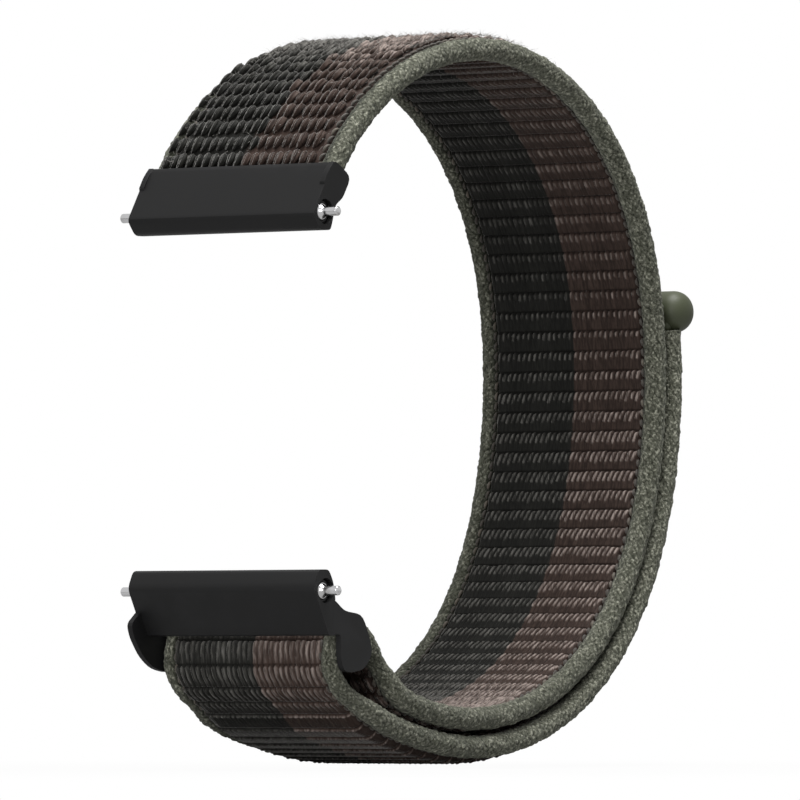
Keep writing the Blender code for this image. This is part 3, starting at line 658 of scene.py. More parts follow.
# Pile: rows of plump tufts, each a handful of looped strands that close in at the foot
tuft = {
    "pitch": 0.93, "across": 19, "shift": 0.22, "aside": 0.88, "asideEnd": (58.0, 10.0), "strands": 5,
    "rings": 7, "sides": 5, "coveredFrom": 90.0, "coveredRings": 6, "coveredSides": 4,
    "radius": 0.155, "spread": 0.27, "reach": 0.84, "lean": 1.0, "foot": 0.45, "tone": -0.80,
    "crown": 1.68, "covered": 1.22, "tail": 0.86, "nipped": 0.72, "crownAngle": (10.0, 14.0),
    "first": 0.6, "firstSpan": (-0.4, 1.4), "tailFrom": 140, "rowShift": 0.30, "tuftShift": 0.14,
    "rowMiddle": 0.52, "lengthShift": 0.16, "reachShares": (0.90, 0.22, 0.05), "tallShares": (0.86, 0.20, 0.07),
    "strandShift": 0.10, "plump": 1.35, "crownLintAndLightStart": (12.0, 14.0), "crownLintAndLightEnd": (50.0, 10.0), "crownLintAndLight": 0.66,
    "footShade": 0.22, "tuftTopLight": 0.26, "strandTone": 0.50, "mouthShade": 0.66, "mouthShadeLift": 0.46,
    "mouthShadeSpan": (3.0, 18.0),
}


def pileTop(s):
    onRun = np.where(alongRoute > tuft["tailFrom"], -180.0, routeAngles)
    angle = np.where(s > tuft["tailFrom"], -180.0, np.interp(s, alongRoute, onRun))
    top = toward(tuft["covered"], tuft["crown"], grown(angle, tuft["crownAngle"]))
    top = toward(toward(top, tuft["tail"], outwardShare(s)), tuft["nipped"], turnShare(s))
    return toward(tuft["first"], top, grown(s, tuft["firstSpan"]))


def pileAside(s):
    # The open pile lies a little over the far piping, as the strap's twist shows it
    return tuft["aside"] * (1 - grown(s, tuft["asideEnd"]))


def rowsBetween(first, last):
    rows = np.arange(int((first - rowStart) // rowPitch) - 1, int((last - rowStart) // rowPitch) + 2)
    centre = rowStart + rowPitch * (rows + 0.5)
    return rows[(centre > max(first, 0.2)) & (centre < last)]


def pilePiece(name, first, last):
    rows, grains, strands = crossed(rowsBetween(first, last), range(tuft["across"]), range(tuft["strands"]))
    tuftChance, strandChance = scatter(rows, grains), scatter(rows, grains + 40 * strands, 7)
    aside = pileAside(rowStart + rowPitch * rows)
    shift = tuft["rowShift"] * (scatter(rows, 3) - 0.5)
    middle = (grains - (tuft["across"] - 1) / 2) * tuft["pitch"] + tuft["shift"] + aside + shift
    middle = middle + tuft["tuftShift"] * (tuftChance - 0.5)
    fan = strands - (tuft["strands"] - 1) / 2
    covered = first > tuft["coveredFrom"]
    t = np.linspace(0, 1, tuft["coveredRings"] if covered else tuft["rings"])
    swing = np.sin(pi * t)
    sMiddle = rowStart + rowPitch * (rows + tuft["rowMiddle"])
    sMiddle = sMiddle + tuft["lengthShift"] * (scatter(rows, grains, 5) - 0.5)
    least, byTuft, byFan = tuft["reachShares"]
    reach = tuft["reach"] * (least + byTuft * tuftChance - byFan * np.abs(fan))
    s = sMiddle - reach * np.cos(pi * t)
    least, byTuft, byFan = tuft["tallShares"]
    tall = (pileTop(sMiddle) - tuft["foot"]) * (least + byTuft * tuftChance - byFan * np.abs(fan))
    tall = tall - tuft["radius"] + tuft["strandShift"] * (strandChance - 0.5)
    height = tuft["foot"] + tall * swing ** 0.75
    plump = np.sin(pi * t ** tuft["plump"])
    fanned = fan * tuft["spread"] * 2 / (tuft["strands"] - 1) * (0.30 + 0.85 * plump)
    lean = tuft["lean"] * np.clip(tall, 0, 1) * swing
    across = middle + fanned + 0.45 * tuft["lean"] - lean + 0.05 * (strandChance - 0.5)
    radius = tuft["radius"] * (0.30 + 0.75 * plump ** 0.55) * (0.85 + 0.3 * strandChance)
    border = tuft["tone"] + aside + 0.5 * (scatter(rows, 9) - 0.5)
    tone = (middle < border).astype(float)
    # Painted light on the tufts: painted shade at each strand's foot, a painted highlight towards its top, paler
    # strands over the crown partly for lint and partly as painted light from above, and painted shade on the rows
    # near the adapter's mouth
    crownLintAndLight = grown(sMiddle, tuft["crownLintAndLightStart"]) * (1 - grown(sMiddle, tuft["crownLintAndLightEnd"]))
    rise = tuft["footShade"] + tuft["tuftTopLight"] * swing ** 1.3
    rise = rise + (tuft["strandTone"] * (strandChance - 0.5) + tuft["crownLintAndLight"] * crownLintAndLight) * swing
    mouthShading = tuft["mouthShade"] + tuft["mouthShadeLift"] * grown(sMiddle, tuft["mouthShadeSpan"])
    rise = np.clip(rise, 0, 1) * mouthShading
    shade = 0.45 * tuftChance + 0.5 * strandChance
    sides = tuft["coveredSides"] if covered else tuft["sides"]
    return strandsPiece(name, "web", s, across, height, radius, sides,
                        {"tone": tone, "rise": rise, "shade": shade})


# Fuzz: loose fibres that stand out of the pile, thickest over the crown and along the two edges
fuzz = {
    "each": 24, "openEach": 110, "crownEach": 200, "open": 70.0, "crownFirst": 16.0, "crownLast": 58.0,
    "radius": 0.017, "rings": 5, "sides": 3, "least": 0.25, "most": 0.85, "edgeShare": 0.35,
    "edge": 7.9, "edgeWidth": 0.8, "width": 16.4, "edgeSunk": 0.30, "sunk": 0.12, "high": 0.75, "low": 0.30,
}


def fuzzPiece(name, first, last):
    rows, numbers = [], []
    for row in rowsBetween(first, last):
        place = rowStart + rowPitch * row
        count = fuzz["openEach"] if fuzz["crownFirst"] < place < fuzz["open"] else fuzz["each"]
        if fuzz["crownFirst"] < place < fuzz["crownLast"]:
            count = fuzz["crownEach"]
        rows += [row] * count
        numbers += range(count)
    rows, numbers = (np.array(values, float)[:, None] for values in (rows, numbers))
    draw = [scatter(rows, numbers, 20 + k) for k in range(7)]
    t = np.linspace(0, 1, fuzz["rings"])
    atEdge = draw[0] < fuzz["edgeShare"]
    side = np.where(draw[1] < 0.5, -1.0, 1.0)
    edgeAcross, midAcross = side * (fuzz["edge"] + fuzz["edgeWidth"] * draw[2]), fuzz["width"] * (draw[2] - 0.5)
    rootAcross = np.where(atEdge, edgeAcross, midAcross)
    rootLength = rowStart + rowPitch * (rows + 0.15 + 0.75 * draw[3])
    rootHeight = pileTop(rootLength) - np.where(atEdge, fuzz["edgeSunk"], fuzz["sunk"])
    length = toward(fuzz["least"], fuzz["most"], draw[4] ** 2)
    turned = 2 * pi * draw[5]
    outward = np.where(atEdge, side, 0.0)
    across = rootAcross + length * t * (0.7 * outward + 0.5 * np.cos(turned + 2 * t))
    s = rootLength + length * t * 0.6 * np.sin(turned + 1.5 * t)
    lift = np.where(draw[6] < 0.5, fuzz["high"], fuzz["low"])
    height = rootHeight + length * lift * (t - 0.5 * draw[6] * t ** 2)
    return strandsPiece(name, "fuzz", s, across, height, fuzz["radius"] * (1.1 - t), fuzz["sides"])


# Piping: a round braid down each side of the web, uneven like soft spun yarn
piping = {
    "radius": 1.07, "nippedRadius": 0.88, "offset": 9.45, "nippedOffset": 9.03,
    "sides": 64, "rowStep": 0.12, "strands": 11, "braidPitch": 0.74, "relief": 0.13, "wander": 0.16,
    "waver": 0.02, "coveredShadeEnd": (58.0, 10.0), "tailLightStart": (165.0, 15.0), "beyond": 0.45,
    "flankShadeStart": 0.35, "coveredFlankShade": 0.55, "flankShade": 0.75,
}


def pipingPiece(name, start, end, side):
    rows = max(8, int(round((end - start) / piping["rowStep"])))
    s = np.linspace(start, end, rows + 1)[:, None]
    around = circle(piping["sides"])[None, :]
    drift = (np.sin(1.9 * s + 3 * around + side) + 0.7 * np.sin(4.7 * s - 2 * around)
             + 0.5 * np.sin(9.1 * s + 5 * around))
    sideways = np.sin(2.6 * s - 4 * around) + 0.7 * np.sin(6.3 * s + 3 * around + 2 * side)
    column = around / (2 * pi) * piping["strands"] + piping["wander"] * sideways
    turns = s / piping["braidPitch"] + piping["wander"] * drift
    first, second = turns + column, turns - column
    overs, p = np.floor(first), first - np.floor(first)
    unders, q = np.floor(second), second - np.floor(second)
    crossing = (overs + unders) % 2
    along, over = np.where(crossing > 0, p, q), np.where(crossing > 0, q, p)
    chance = scatter(overs, unders, 11 + side)
    swell = dome(along, 3.0) * dome(over, 2.0)
    nip = turnShare(s)
    radius = toward(piping["radius"], piping["nippedRadius"], nip)
    offset = toward(piping["offset"], piping["nippedOffset"], nip)
    out = radius - piping["relief"] * (1 - (0.45 + 0.75 * chance) * swell) + piping["waver"] * drift
    ring = placeOn(s, side * (offset + out * np.cos(around)), out * np.sin(around))
    # Painted shade: darker between the braid's strands and on the flank facing the web, more where the pile
    # covers that flank
    coveredShading = piping["coveredFlankShade"] * (np.sin(around) > 0) * (1 - grown(s, piping["coveredShadeEnd"]))
    shadedFlank = smooth((-np.cos(around) - piping["flankShadeStart"] + coveredShading) / 0.4)
    rise = swell * (1 - piping["flankShade"] * shadedFlank)
    # Painted light: from the tail on the piping is painted paler
    chance = np.clip(chance + 0.5 * grown(s, piping["tailLightStart"]), 0, 1.4)
    return closedPiece(name, ring, "piping", {"rise": rise, "shade": chance})


# Seam: a row of small slanted stitches between web and piping, on both faces
seam = {
    "pitch": 0.97, "reach": 0.42, "radius": 0.15, "across": 8.58, "nippedAcross": 8.30, "lean": 0.10,
    "pileLevel": 0.86, "ribLevel": 0.80, "nippedLevel": 0.62, "sides": 6, "rings": 6,
    "shownEnd": (58.0, 10.0), "shownLevel": 0.16, "shownLean": 0.10, "startGap": 0.3, "endGap": 0.2,
    "sag": 0.18, "taper": 0.96,
}


def seamPiece(name, first, last):
    starts = np.arange(first + seam["startGap"], last - seam["endGap"], seam["pitch"])
    places, sides, faces = crossed(starts, (-1.0, 1.0), (-1.0, 1.0))
    t = np.linspace(-1, 1, seam["rings"])
    nip = turnShare(places)
    middle = toward(seam["across"], seam["nippedAcross"], nip)
    shown = (faces > 0) * (sides < 0) * (1 - grown(places, seam["shownEnd"]))
    level = np.where(faces > 0, seam["pileLevel"], seam["ribLevel"])
    level = toward(level, seam["nippedLevel"], nip) + seam["shownLevel"] * shown
    s = places + seam["reach"] * t
    across = sides * (middle + (seam["lean"] + seam["shownLean"] * shown) * t)
    height = faces * (level - seam["sag"] * t ** 2)
    radius = seam["radius"] * np.sqrt(1 - seam["taper"] * t ** 2)
    chance = scatter(np.round(places * 10), sides, faces)
    return strandsPiece(name, "seam", s, across, height, radius, seam["sides"], {"shade": chance})


def grooveNear(s):
    return rowStart + rowPitch * round((s - rowStart) / rowPitch)


# X and Z of the tail's three joints, each with a length that its place comes after
joints = {"root": (7.278, -29.22, 140.0), "middle": (36.371, -30.764, 160.0), "tip": (53.902, -13.783, 190.0)}
rootLength, middleLength, tipLength = (lengthNear(*joint) for joint in joints.values())
# Lengths at which the main run is cut, how far a bend reaches to either side, and how far the tab covers the end
cut = {"main": (9.3, 50, 91, 131.5), "mouthBend": (0.2, 6.0), "bend": 4, "middleBend": 5, "covered": 0.7}


def bendRound(s, reach):
    return s - reach, s + reach


halfTail = ((rootLength + middleLength) / 2, (middleLength + tipLength) / 2)
cuts = [grooveNear(s) for s in (*cut["main"], rootLength - cut["bend"], *halfTail)]
cuts = [-route["tucked"], *cuts, lastLength + cut["covered"]]
# Name of each length of the strap, the body or the bend that carries it, and the CAD pieces it stands for
segments = [
    ("mouth", ("upper_adapter", "main_strap", *cut["mouthBend"]), None),
    ("arch", "main_strap", "main_run"),
    ("back", "main_strap", None),
    ("fold", "main_strap", None),
    ("turn", "main_strap", "rail_turn"),
    ("root", ("main_strap", "tail_root", *bendRound(rootLength, cut["bend"])), "tail_root"),
    ("middle", ("tail_root", "tail_middle", *bendRound(middleLength, cut["middleBend"])), "tail_middle"),
    ("tip", ("tail_middle", "tail_tip", *bendRound(tipLength, cut["bend"])), "tail_tip"),
]


for (segmentName, carrier, stands), first, last in zip(segments, cuts, cuts[1:]):
    pipingEnd = min(last, lastLength + piping["beyond"])
    made = {
        "web": webPiece(segmentName + "Web", first, last),
        "near_edge": pipingPiece(segmentName + "NearPiping", first, pipingEnd, -1),
        "far_edge": pipingPiece(segmentName + "FarPiping", first, pipingEnd, 1),
        "pile": pilePiece(segmentName + "Pile", first, last),
        "fuzz": fuzzPiece(segmentName + "Fuzz", first, last),
        "seams": seamPiece(segmentName + "Seams", first, last),
    }
    for role, piece in made.items():
        if isinstance(carrier, str):
            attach(piece, carrier)
        else:
            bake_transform(piece)
        if stands and role in ("web", "near_edge", "far_edge"):
            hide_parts(stands + "_" + role)
    print("Strap segment", segmentName, round(first, 1), "to", round(last, 1), "mm")


# Metal parts: the CAD bodies, joined up and given soft edges
def pickOnly(piece):
    bpy.ops.object.select_all(action="DESELECT")
    piece.select_set(True)
    bpy.context.view_layer.objects.active = piece


metal = {"weld": 0.000002, "flatAngle": 0.5, "castBevel": 6, "castCorner": 32, "castSmooth": 18,
         "turnedBevel": 3, "turnedCorner": 25, "turnedSmooth": 30}


def weld():
    bpy.ops.object.mode_set(mode="EDIT")
    bpy.ops.mesh.select_all(action="SELECT")
    bpy.ops.mesh.remove_doubles(threshold=metal["weld"])


def soften(piece, width, segments, angle=30):
    rounding = piece.modifiers.new("rounding", "BEVEL")
    rounding.width = width * mm
    rounding.segments = segments
    rounding.angle_limit = radians(angle)
    bpy.ops.object.modifier_apply(modifier="rounding")


def refinedCopy(node, name, look, body, bevel):
    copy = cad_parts[node].copy()
    copy.data = copy.data.copy()
    copy.name = name
    copy.parent = None
    for key in list(copy.keys()):
        del copy[key]
    bpy.context.scene.collection.objects.link(copy)
    pickOnly(copy)
    weld()
    bpy.ops.mesh.dissolve_limited(angle_limit=radians(metal["flatAngle"]))
    bpy.ops.object.mode_set(mode="OBJECT")
    soften(copy, bevel, metal["castBevel"], metal["castCorner"])
    bpy.ops.object.shade_smooth_by_angle(angle=radians(metal["castSmooth"]))
    evening = copy.modifiers.new("evening", "WEIGHTED_NORMAL")
    evening.keep_sharp = True
    bpy.ops.object.modifier_apply(modifier="evening")
    copy.data.materials.clear()
    copy.data.materials.append(looks[look])
    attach(copy, body)
    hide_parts(node)
    return copy


def turnedPiece(name, profile, centre, way, body, look="steel", steps=48, bevel=0.03):
    # A profile of length and radius, both in millimetres, spun round its own axis and then set in place
    mesh = bpy.data.meshes.new(name)
    edges = [(k, k + 1) for k in range(len(profile) - 1)]
    mesh.from_pydata([(radius * mm, 0, along * mm) for along, radius in profile], edges, [])
    piece = newObject(name, mesh)
    pickOnly(piece)
    turning = piece.modifiers.new("turning", "SCREW")
    turning.steps = turning.render_steps = steps
    turning.use_merge_vertices = True
    turning.merge_threshold = metal["weld"]
    bpy.ops.object.modifier_apply(modifier="turning")
    weld()
    bpy.ops.mesh.normals_make_consistent(inside=False)
    bpy.ops.object.mode_set(mode="OBJECT")
    if bevel:
        soften(piece, bevel, metal["turnedBevel"], metal["turnedCorner"])
    turned = Vector(way).to_track_quat("Z", "X").to_matrix().to_4x4()
    piece.data.transform(Matrix.Translation(Vector(centre) * mm) @ turned)
    bpy.ops.object.shade_smooth_by_angle(angle=radians(metal["turnedSmooth"]))
    piece.data.materials.append(looks[look])
    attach(piece, body)
    return piece


def joinOn(piece, other):
    pickOnly(piece)
    other.select_set(True)
    bpy.ops.object.join()


# Adapters: cast bodies with soft edges, and a sleeve at either end of the bore round each pin
adapters = {"bevel": 0.07, "sleeveOuter": 1.04, "sleeveInner": 0.79, "sleeveStart": 9.8, "sleeveEnd": 10.42}
bars = {"upper": (0.0, 0.0, 17.05), "lower": (0.0, 0.0, -17.05)}
start, stop = adapters["sleeveStart"], adapters["sleeveEnd"]
inner, outer = adapters["sleeveInner"], adapters["sleeveOuter"]
rim = [(start, inner), (stop, inner), (stop, outer), (start, outer), (start, inner)]
for end, centre in bars.items():
    body = end + "_adapter"
    adapterBody = refinedCopy(body, end + "Adapter", end, body, adapters["bevel"])
    for side in (-1, 1):
        joinOn(adapterBody, turnedPiece(end + "Sleeve", rim, centre, (0, side, 0), body, end))
print("Adapters finished")

# Spring bars: rolled barrel, coiled spring and two turned pins with a flared collar
pin = {
    "start": 3.1, "shaft": 0.45, "collar": 0.72, "collarStart": 10.30, "collarEnd": 10.56,
    "flareEnd": 11.1, "flareDrop": 0.06, "tip": 0.43, "tipEnd": 12.45, "tipChamfer": 0.13, "flareSteps": 5,
}
barrel = {"half": 8.4, "outer": 0.75, "inner": 0.55, "lip": 0.49, "lipLength": 0.25,
          "slotDepth": 1.2, "slotRadius": 0.43, "slotSlide": 0.75}
lever = {"place": 6.3, "stem": 0.36, "thinShare": 0.55, "foot": 0.2, "shoulder": 0.6, "knob": 0.48,
         "knobStart": 1.72, "knobEnd": 2.35, "waist": 0.41}


def pinProfile():
    flare = []
    for k in range(pin["flareSteps"] + 1):
        share = k / pin["flareSteps"]
        flare.append((toward(pin["collarEnd"], pin["flareEnd"], share),
                      toward(pin["tip"], pin["collar"] - pin["flareDrop"], (1 - share) ** 2)))
    return [(pin["start"], 0), (pin["start"], pin["shaft"]), (pin["collarStart"], pin["shaft"]),
            (pin["collarStart"], pin["collar"]), (pin["collarEnd"], pin["collar"])] + flare + [
                (pin["tipEnd"] - pin["tipChamfer"], pin["tip"]), (pin["tipEnd"], pin["tip"] - pin["tipChamfer"]),
                (pin["tipEnd"], 0)]


def barrelProfile():
    half, inside = barrel["half"], barrel["half"] - barrel["lipLength"]
    return [(-half, barrel["lip"]), (-half, barrel["outer"]), (half, barrel["outer"]), (half, barrel["lip"]),
            (inside, barrel["lip"]), (inside, barrel["inner"]), (-inside, barrel["inner"]),
            (-inside, barrel["lip"]), (-half, barrel["lip"])]


def leverProfile():
    stem, wide, waist = lever["stem"], lever["knob"], lever["waist"]
    low, high, thin = lever["knobStart"], lever["knobEnd"], lever["stem"] * lever["thinShare"]
    return [(lever["foot"], 0), (lever["foot"], thin), (lever["shoulder"], thin), (lever["shoulder"], stem),
            (low, stem), (low, wide), (low + 0.2, wide), (low + 0.3, waist), (high - 0.22, waist),
            (high - 0.12, wide), (high, wide - 0.1), (high, 0)]


for end, centre in bars.items():
    for side, sideName in ((-1, "near"), (1, "far")):
        node = f"{end}_{sideName}_plunger"
        made = turnedPiece(end + sideName.title() + "Pin", pinProfile(), centre, (0, side, 0), node, bevel=0.02)
        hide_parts(node)
    tube = turnedPiece(end + "Barrel", barrelProfile(), centre, (0, 1, 0), end + "_bar")
    deep, wide, slide = barrel["slotDepth"], barrel["slotRadius"], barrel["slotSlide"]
    window = turnedPiece(end + "Window", [(0, 0), (0, wide), (deep, wide), (deep, 0)],
                         (centre[0], slide - lever["place"], centre[2]), (1, 0, 0), end + "_bar", bevel=0)
    for corner in window.data.vertices:
        corner.co.y += (slide if corner.co.y > (slide - lever["place"]) * mm else -slide) * mm
    opening = tube.modifiers.new("opening", "BOOLEAN")
    opening.object = window
    opening.solver = "EXACT"
    pickOnly(tube)
    bpy.ops.object.modifier_apply(modifier="opening")
    bpy.data.objects.remove(window)
    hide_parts(end + "_bar_barrel")
    press = turnedPiece(end + "Lever", leverProfile(), (centre[0], -lever["place"], centre[2]), (1, 0, 0),
                        end + "_near_plunger", bevel=0.02)
    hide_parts(end + "_release_lever")

# Each spring is wound in two halves, one running out from the middle towards either pin
coil = {"radius": 0.33, "wire": 0.09, "pitch": 0.62, "half": 2.85, "sides": 8, "perTurn": 20, "pressed": 0.47}


def springHalf(end, centre, side, sideName):
    turns = coil["half"] / coil["pitch"]
    share = np.linspace(0, 1, int(turns * coil["perTurn"]))
    angle = 2 * pi * share * turns * side
    outward = np.stack([np.cos(angle), 0 * angle, np.sin(angle)], 1)
    line = coil["radius"] * outward + np.stack([0 * share, coil["half"] * share * side, 0 * share], 1)
    across = np.cross(waysOf(line), outward)
    around = circle(coil["sides"])[None, :, None]
    thick = coil["wire"] * (np.cos(around) * outward[:, None] + np.sin(around) * across[:, None])
    ring = (line[:, None] + thick + np.array(centre)) * mm
    wound = closedPiece(end + sideName.title() + "Spring", ring, "steel", {})
    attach(wound, end + "_bar")
    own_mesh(wound)
    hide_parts(end + "_bar_spring")


for end, centre in bars.items():
    springHalf(end, centre, -1, "near")
    springHalf(end, centre, 1, "far")

rod = {"centre": (1.75, 0.0, 19.15), "radius": 0.39, "half": 9.55, "bevel": 0.08}
rodLine = [(-rod["half"], 0), (-rod["half"], rod["radius"]), (rod["half"], rod["radius"]), (rod["half"], 0)]
hemRod = turnedPiece("hemRod", rodLine, rod["centre"], (0, 1, 0), "upper_adapter", bevel=rod["bevel"])
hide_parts("hem_rod")
print("Steel finished")

# Hem: the end of the web, folded round the rod and laid against itself up to the mouth
hem = {
    "inner": 0.50, "ply": 0.42, "halfWidth": 9.5, "halfGap": 0.05, "length": 2.25, "grain": 0.6, "relief": 0.05,
    "joins": 1.15, "wrapFirst": -50, "wrapLast": 230, "wrapSteps": 57, "rows": 90, "columnStep": 0.5,
    "level": 0.45,
}


def hemPiece():
    lean = radians(route["hemLean"])
    up, out = np.array([sin(lean), cos(lean)]), np.array([cos(lean), -sin(lean)])
    middleRadius = hem["inner"] + hem["ply"] / 2
    plyOffset = hem["halfGap"] + hem["ply"] / 2
    turn = np.radians(np.linspace(hem["wrapFirst"], hem["wrapLast"], hem["wrapSteps"]))[::-1]
    loop = middleRadius * np.stack([np.cos(turn), -np.sin(turn)], 1)
    first = np.array([[-plyOffset, hem["length"]], [-plyOffset, hem["joins"]]])
    last = np.array([[plyOffset, hem["joins"]], [plyOffset, hem["length"]]])
    line = np.concatenate([first, loop, last])
    even = lengthsAlong(line)
    places = np.linspace(0, even[-1], hem["rows"])
    line = np.stack([np.interp(places, even, line[:, k]) for k in (0, 1)], 1)
    way = waysOf(line)
    normal = np.stack([-way[:, 1], way[:, 0]], 1)
    columns = np.arange(-hem["halfWidth"], hem["halfWidth"] + 0.01, hem["columnStep"])
    centre = np.array(route["rodCentre"])
    ringSides = []
    wave = hem["relief"] * np.sin(places[:, None] / hem["grain"] * pi) ** 2
    wave = wave * np.abs(np.sin(columns * pi / hem["grain"]))[None]
    for face in (1, -1):
        spot = line[:, None] + normal[:, None] * (face * (hem["ply"] / 2 - hem["relief"] + wave))[..., None]
        flat = centre + spot[..., 0:1] * out + spot[..., 1:2] * up
        side = np.stack([flat[..., 0], np.broadcast_to(columns, flat.shape[:2]), flat[..., 1]], -1) * mm
        ringSides.append(side if face > 0 else side[:, ::-1])
    ring = np.concatenate(ringSides, 1)
    tone = (ring[..., 1] < 0).astype(float)
    level = 0 * tone + hem["level"]
    maps = np.stack([np.broadcast_to(places[:, None], tone.shape).ravel(), (ring[..., 1] / mm).ravel()], -1)
    attributes = {"tone": tone, "rise": level, "shade": level}
    piece = closedPiece("hemCloth", ring, "web", attributes, maps)
    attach(piece, "upper_adapter")
    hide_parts("strap_hem")


hemPiece()

# Hook patch: a thin woven backing under the tail's tip, set with rows of small bent hooks
patch = {
    "first": 207.6, "last": 224.6, "half": 7.5, "low": 0.88, "high": 1.18, "step": 0.35, "rowPitch": 0.85,
    "hookPitch": 0.62, "hookTall": 0.42, "hookReach": 0.12, "wire": 0.055, "rings": 7, "sides": 5,
    "corner": 0.99, "sag": 0.06, "endGap": 0.6, "sideGap": 0.5,
}


def hookPatchPieces():
    s = np.arange(patch["first"], patch["last"], patch["step"])[:, None]
    corner = patch["corner"]
    across = np.array([-1.0, -corner, corner, 1.0, 1.0, corner, -corner, -1.0])[None] * patch["half"]
    height = np.array([0.0, 1.0, 1.0, 0.0, 0.0, 0.0, 0.0, 0.0])[None] * (patch["high"] - patch["low"])
    height = height + patch["low"] - np.array([0, 0, 0, 0, 1, 2, 2, 1])[None] * patch["sag"]
    backing = closedPiece("hookBacking", placeOn(s, across, height), "hook", {"rise": 0.0})
    side = patch["half"] - patch["sideGap"]
    places, spots = crossed(
        np.arange(patch["first"] + patch["endGap"], patch["last"] - patch["endGap"], patch["rowPitch"]),
        np.arange(-side, side + 0.1, patch["hookPitch"]))
    t = np.linspace(0, 1, patch["rings"])
    facing = np.where(np.round(spots / patch["hookPitch"]) % 2 > 0, 1.0, -1.0)
    chance = scatter(np.round(places * 7), np.round(spots * 9))
    along = places + facing * patch["hookReach"] * (1 - np.cos(1.35 * pi * t))
    tall = patch["high"] - 0.05 + patch["hookTall"] * (0.9 + 0.2 * chance) * np.sin(0.68 * pi * t) ** 0.8
    aside = spots + 0.06 * (chance - 0.5) * t
    radius = patch["wire"] * (1 - 0.45 * t)
    hooks = strandsPiece("hooks", "hook", along, aside, tall, radius, patch["sides"], {"rise": t})
    for piece in (backing, hooks):
        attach(piece, "tail_tip")
    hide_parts("hook_pad")


hookPatchPieces()
print("Hem and hook patch finished")

# Pull tab: a smooth bar with domed ends, and a flat collar moulded over the end of the tail
tab = {
    "radius": 1.98, "half": 10.85, "domeLength": 1.80, "domePower": 2.15, "domeSteps": 16,
    "outset": 1.32, "lead": 2.15, "collarHalf": 9.6, "collarLow": -0.50, "collarHigh": 1.2,
    "collarStart": 0.35, "collarEnd": 2.0, "collarRound": 0.45, "collarSmooth": 40,
}


def makeTab():
    end = tailPoints(np.array([route["tabAngle"]]))[0]
    way = waysOf(tailPoints(route["tabAngle"] + np.array([-0.1, 0.0, 0.1])))[1]
    outward = np.array([way[1], -way[0]])
    centre = end + way * tab["lead"] + outward * tab["outset"]
    rounded = []
    for k in range(tab["domeSteps"] + 1):
        share = 1 - cos(pi / 2 * k / tab["domeSteps"])
        rounded.append((share * tab["domeLength"] - tab["half"],
                        tab["radius"] * (1 - (1 - share) ** tab["domePower"]) ** (1 / tab["domePower"])))
    profile = rounded + [(-along, radius) for along, radius in reversed(rounded)]
    bar = turnedPiece("pullTab", profile, (centre[0], 0, centre[1]), (0, 1, 0), "tail_tip", "tab",
                      steps=64, bevel=0)
    bpy.ops.mesh.primitive_cube_add(size=2, location=(0, 0, 0))
    collar = bpy.context.active_object
    low, high, start, stop = tab["collarLow"], tab["collarHigh"], tab["collarStart"], tab["collarEnd"]
    size = ((high - low) / 2 * mm, tab["collarHalf"] * mm, (stop - start) / 2 * mm, 1)
    spot = end + way * (start + stop) / 2 + outward * (low + high) / 2
    turned = Matrix(((outward[0], 0, way[0]), (0, 1, 0), (outward[1], 0, way[1]))).to_4x4()
    collar.data.transform(Matrix.Translation(Vector((spot[0], 0, spot[1])) * mm) @ turned @ Matrix.Diagonal(size))
    pickOnly(collar)
    soften(collar, tab["collarRound"], 5)
    bpy.ops.object.shade_smooth_by_angle(angle=radians(tab["collarSmooth"]))
    collar.data.materials.append(looks["tab"])
    joinOn(bar, collar)
    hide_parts("pull_tab")


makeTab()
print("Pull tab finished")


# Floor, light and camera
stage = {
    "floorDrop": 0.4, "floorSize": 3.0, "floorPlace": (0.02, 0), "floorShade": 0.34, "floorGlow": 0.97,
    "glowCentre": (0.005, 0.0, 0.0), "glowStart": 0.03, "glowReach": 0.09, "ambient": 0.14, "mirrored": 0.55,
    "target": (0.0245, 0.0, 0.0),
}
# Place, power and size of each lamp
lamps = {"topLamp": ((-0.02, -0.12, 0.75), 8.6, 0.45), "frontLamp": ((-0.74, -0.26, 0.20), 3.0, 0.5)}


def raysOf(tree, *kinds):
    path = tree.nodes.new("ShaderNodeLightPath")
    return [Wire(tree, path.outputs[f"Is {kind} Ray"]) for kind in kinds]


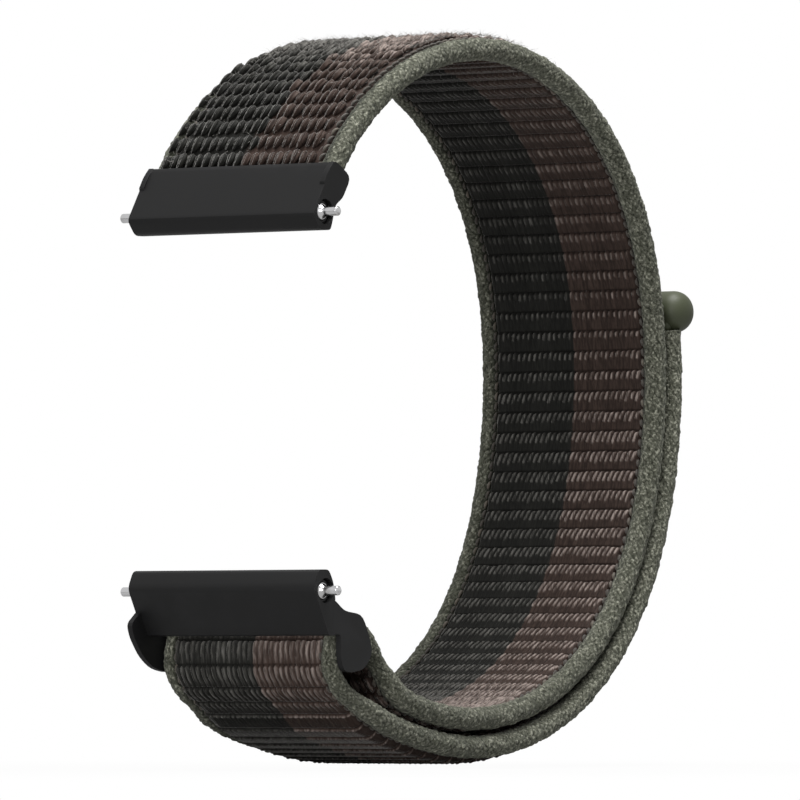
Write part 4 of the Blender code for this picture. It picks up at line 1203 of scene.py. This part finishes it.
def addFloor():
    lowest = cadBox[0].z - stage["floorDrop"] * mm
    bpy.ops.mesh.primitive_plane_add(size=stage["floorSize"], location=(*stage["floorPlace"], lowest))
    floor = bpy.context.active_object
    floor.name = "floor"
    material, shader, wire = newMaterial("floorPaper", Roughness=0.9, Specular_IOR_Level=0.1)
    shader.inputs["Base Color"].default_value = colourOf(*[stage["floorShade"]] * 3)
    tree = material.node_tree
    seen, passed = raysOf(tree, "Camera", "Transmission")
    glow = wire.node("ShaderNodeEmission", {}, {"Color": colourOf(1, 1, 1), "Strength": 1.0})
    place = objectPlace(wire)
    ends = {0: place, 1: stage["glowCentre"]}
    apart = place.node("ShaderNodeVectorMath", {"operation": "DISTANCE"}, ends, out="Value")
    spread = apart.between(stage["glowStart"], stage["glowReach"])
    share = (seen + passed).clamped() * toward(stage["floorGlow"], 1.0, spread)
    both = tree.nodes.new("ShaderNodeMixShader")
    tree.links.new(share.socket, both.inputs[0])
    tree.links.new(shader.outputs[0], both.inputs[1])
    tree.links.new(glow.socket, both.inputs[2])
    tree.links.new(both.outputs[0], tree.nodes["Material Output"].inputs["Surface"])
    floor.data.materials.append(material)


def makeWorld():
    world = bpy.data.worlds.new("studio")
    bpy.context.scene.world = world
    world.use_nodes = True
    tree = world.node_tree
    seen, passed, glossy = raysOf(tree, "Camera", "Transmission", "Glossy")
    share = (seen + passed + stage["mirrored"] * glossy).clamped()
    strength = toward(stage["ambient"], 1.0, share)
    background = tree.nodes["Background"]
    background.inputs["Color"].default_value = colourOf(1, 1, 1)
    tree.links.new(strength.socket, background.inputs["Strength"])


def addLamp(name, place, power, size):
    bpy.ops.object.light_add(type="AREA", location=place)
    lamp = bpy.context.active_object
    lamp.name = name
    lamp.data.energy = power
    lamp.data.size = size
    lamp.rotation_euler = (Vector(stage["target"]) - Vector(place)).to_track_quat("-Z", "Y").to_euler()


addFloor()
makeWorld()
for lampName, values in lamps.items():
    addLamp(lampName, *values)

view = {"azimuth": 53.0, "elevation": -1.57, "roll": -0.09, "distance": 0.9122, "lens": 443.6,
        "shiftX": 0.0091, "shiftY": -0.0148, "target": (0.0245, 0.0, 0.00185)}


def addCamera():
    turn, lift = radians(view["azimuth"]), radians(view["elevation"])
    way = Vector((-sin(turn) * cos(lift), -cos(turn) * cos(lift), sin(lift)))
    target = Vector(view["target"])
    bpy.ops.object.camera_add(location=target + way * view["distance"])
    camera = bpy.context.active_object
    camera.name = "photoView"
    facing = (-way).to_track_quat("-Z", "Y").to_euler()
    camera.rotation_euler = facing
    camera.rotation_euler.rotate_axis("Z", radians(view["roll"]))
    camera.data.lens = view["lens"]
    camera.data.sensor_width = 36.0
    camera.data.shift_x = view["shiftX"]
    camera.data.shift_y = view["shiftY"]
    camera.data.clip_start = 0.01
    bpy.context.scene.camera = camera


addCamera()
bpy.context.scene.view_settings.view_transform = "Standard"
print("Stage set")
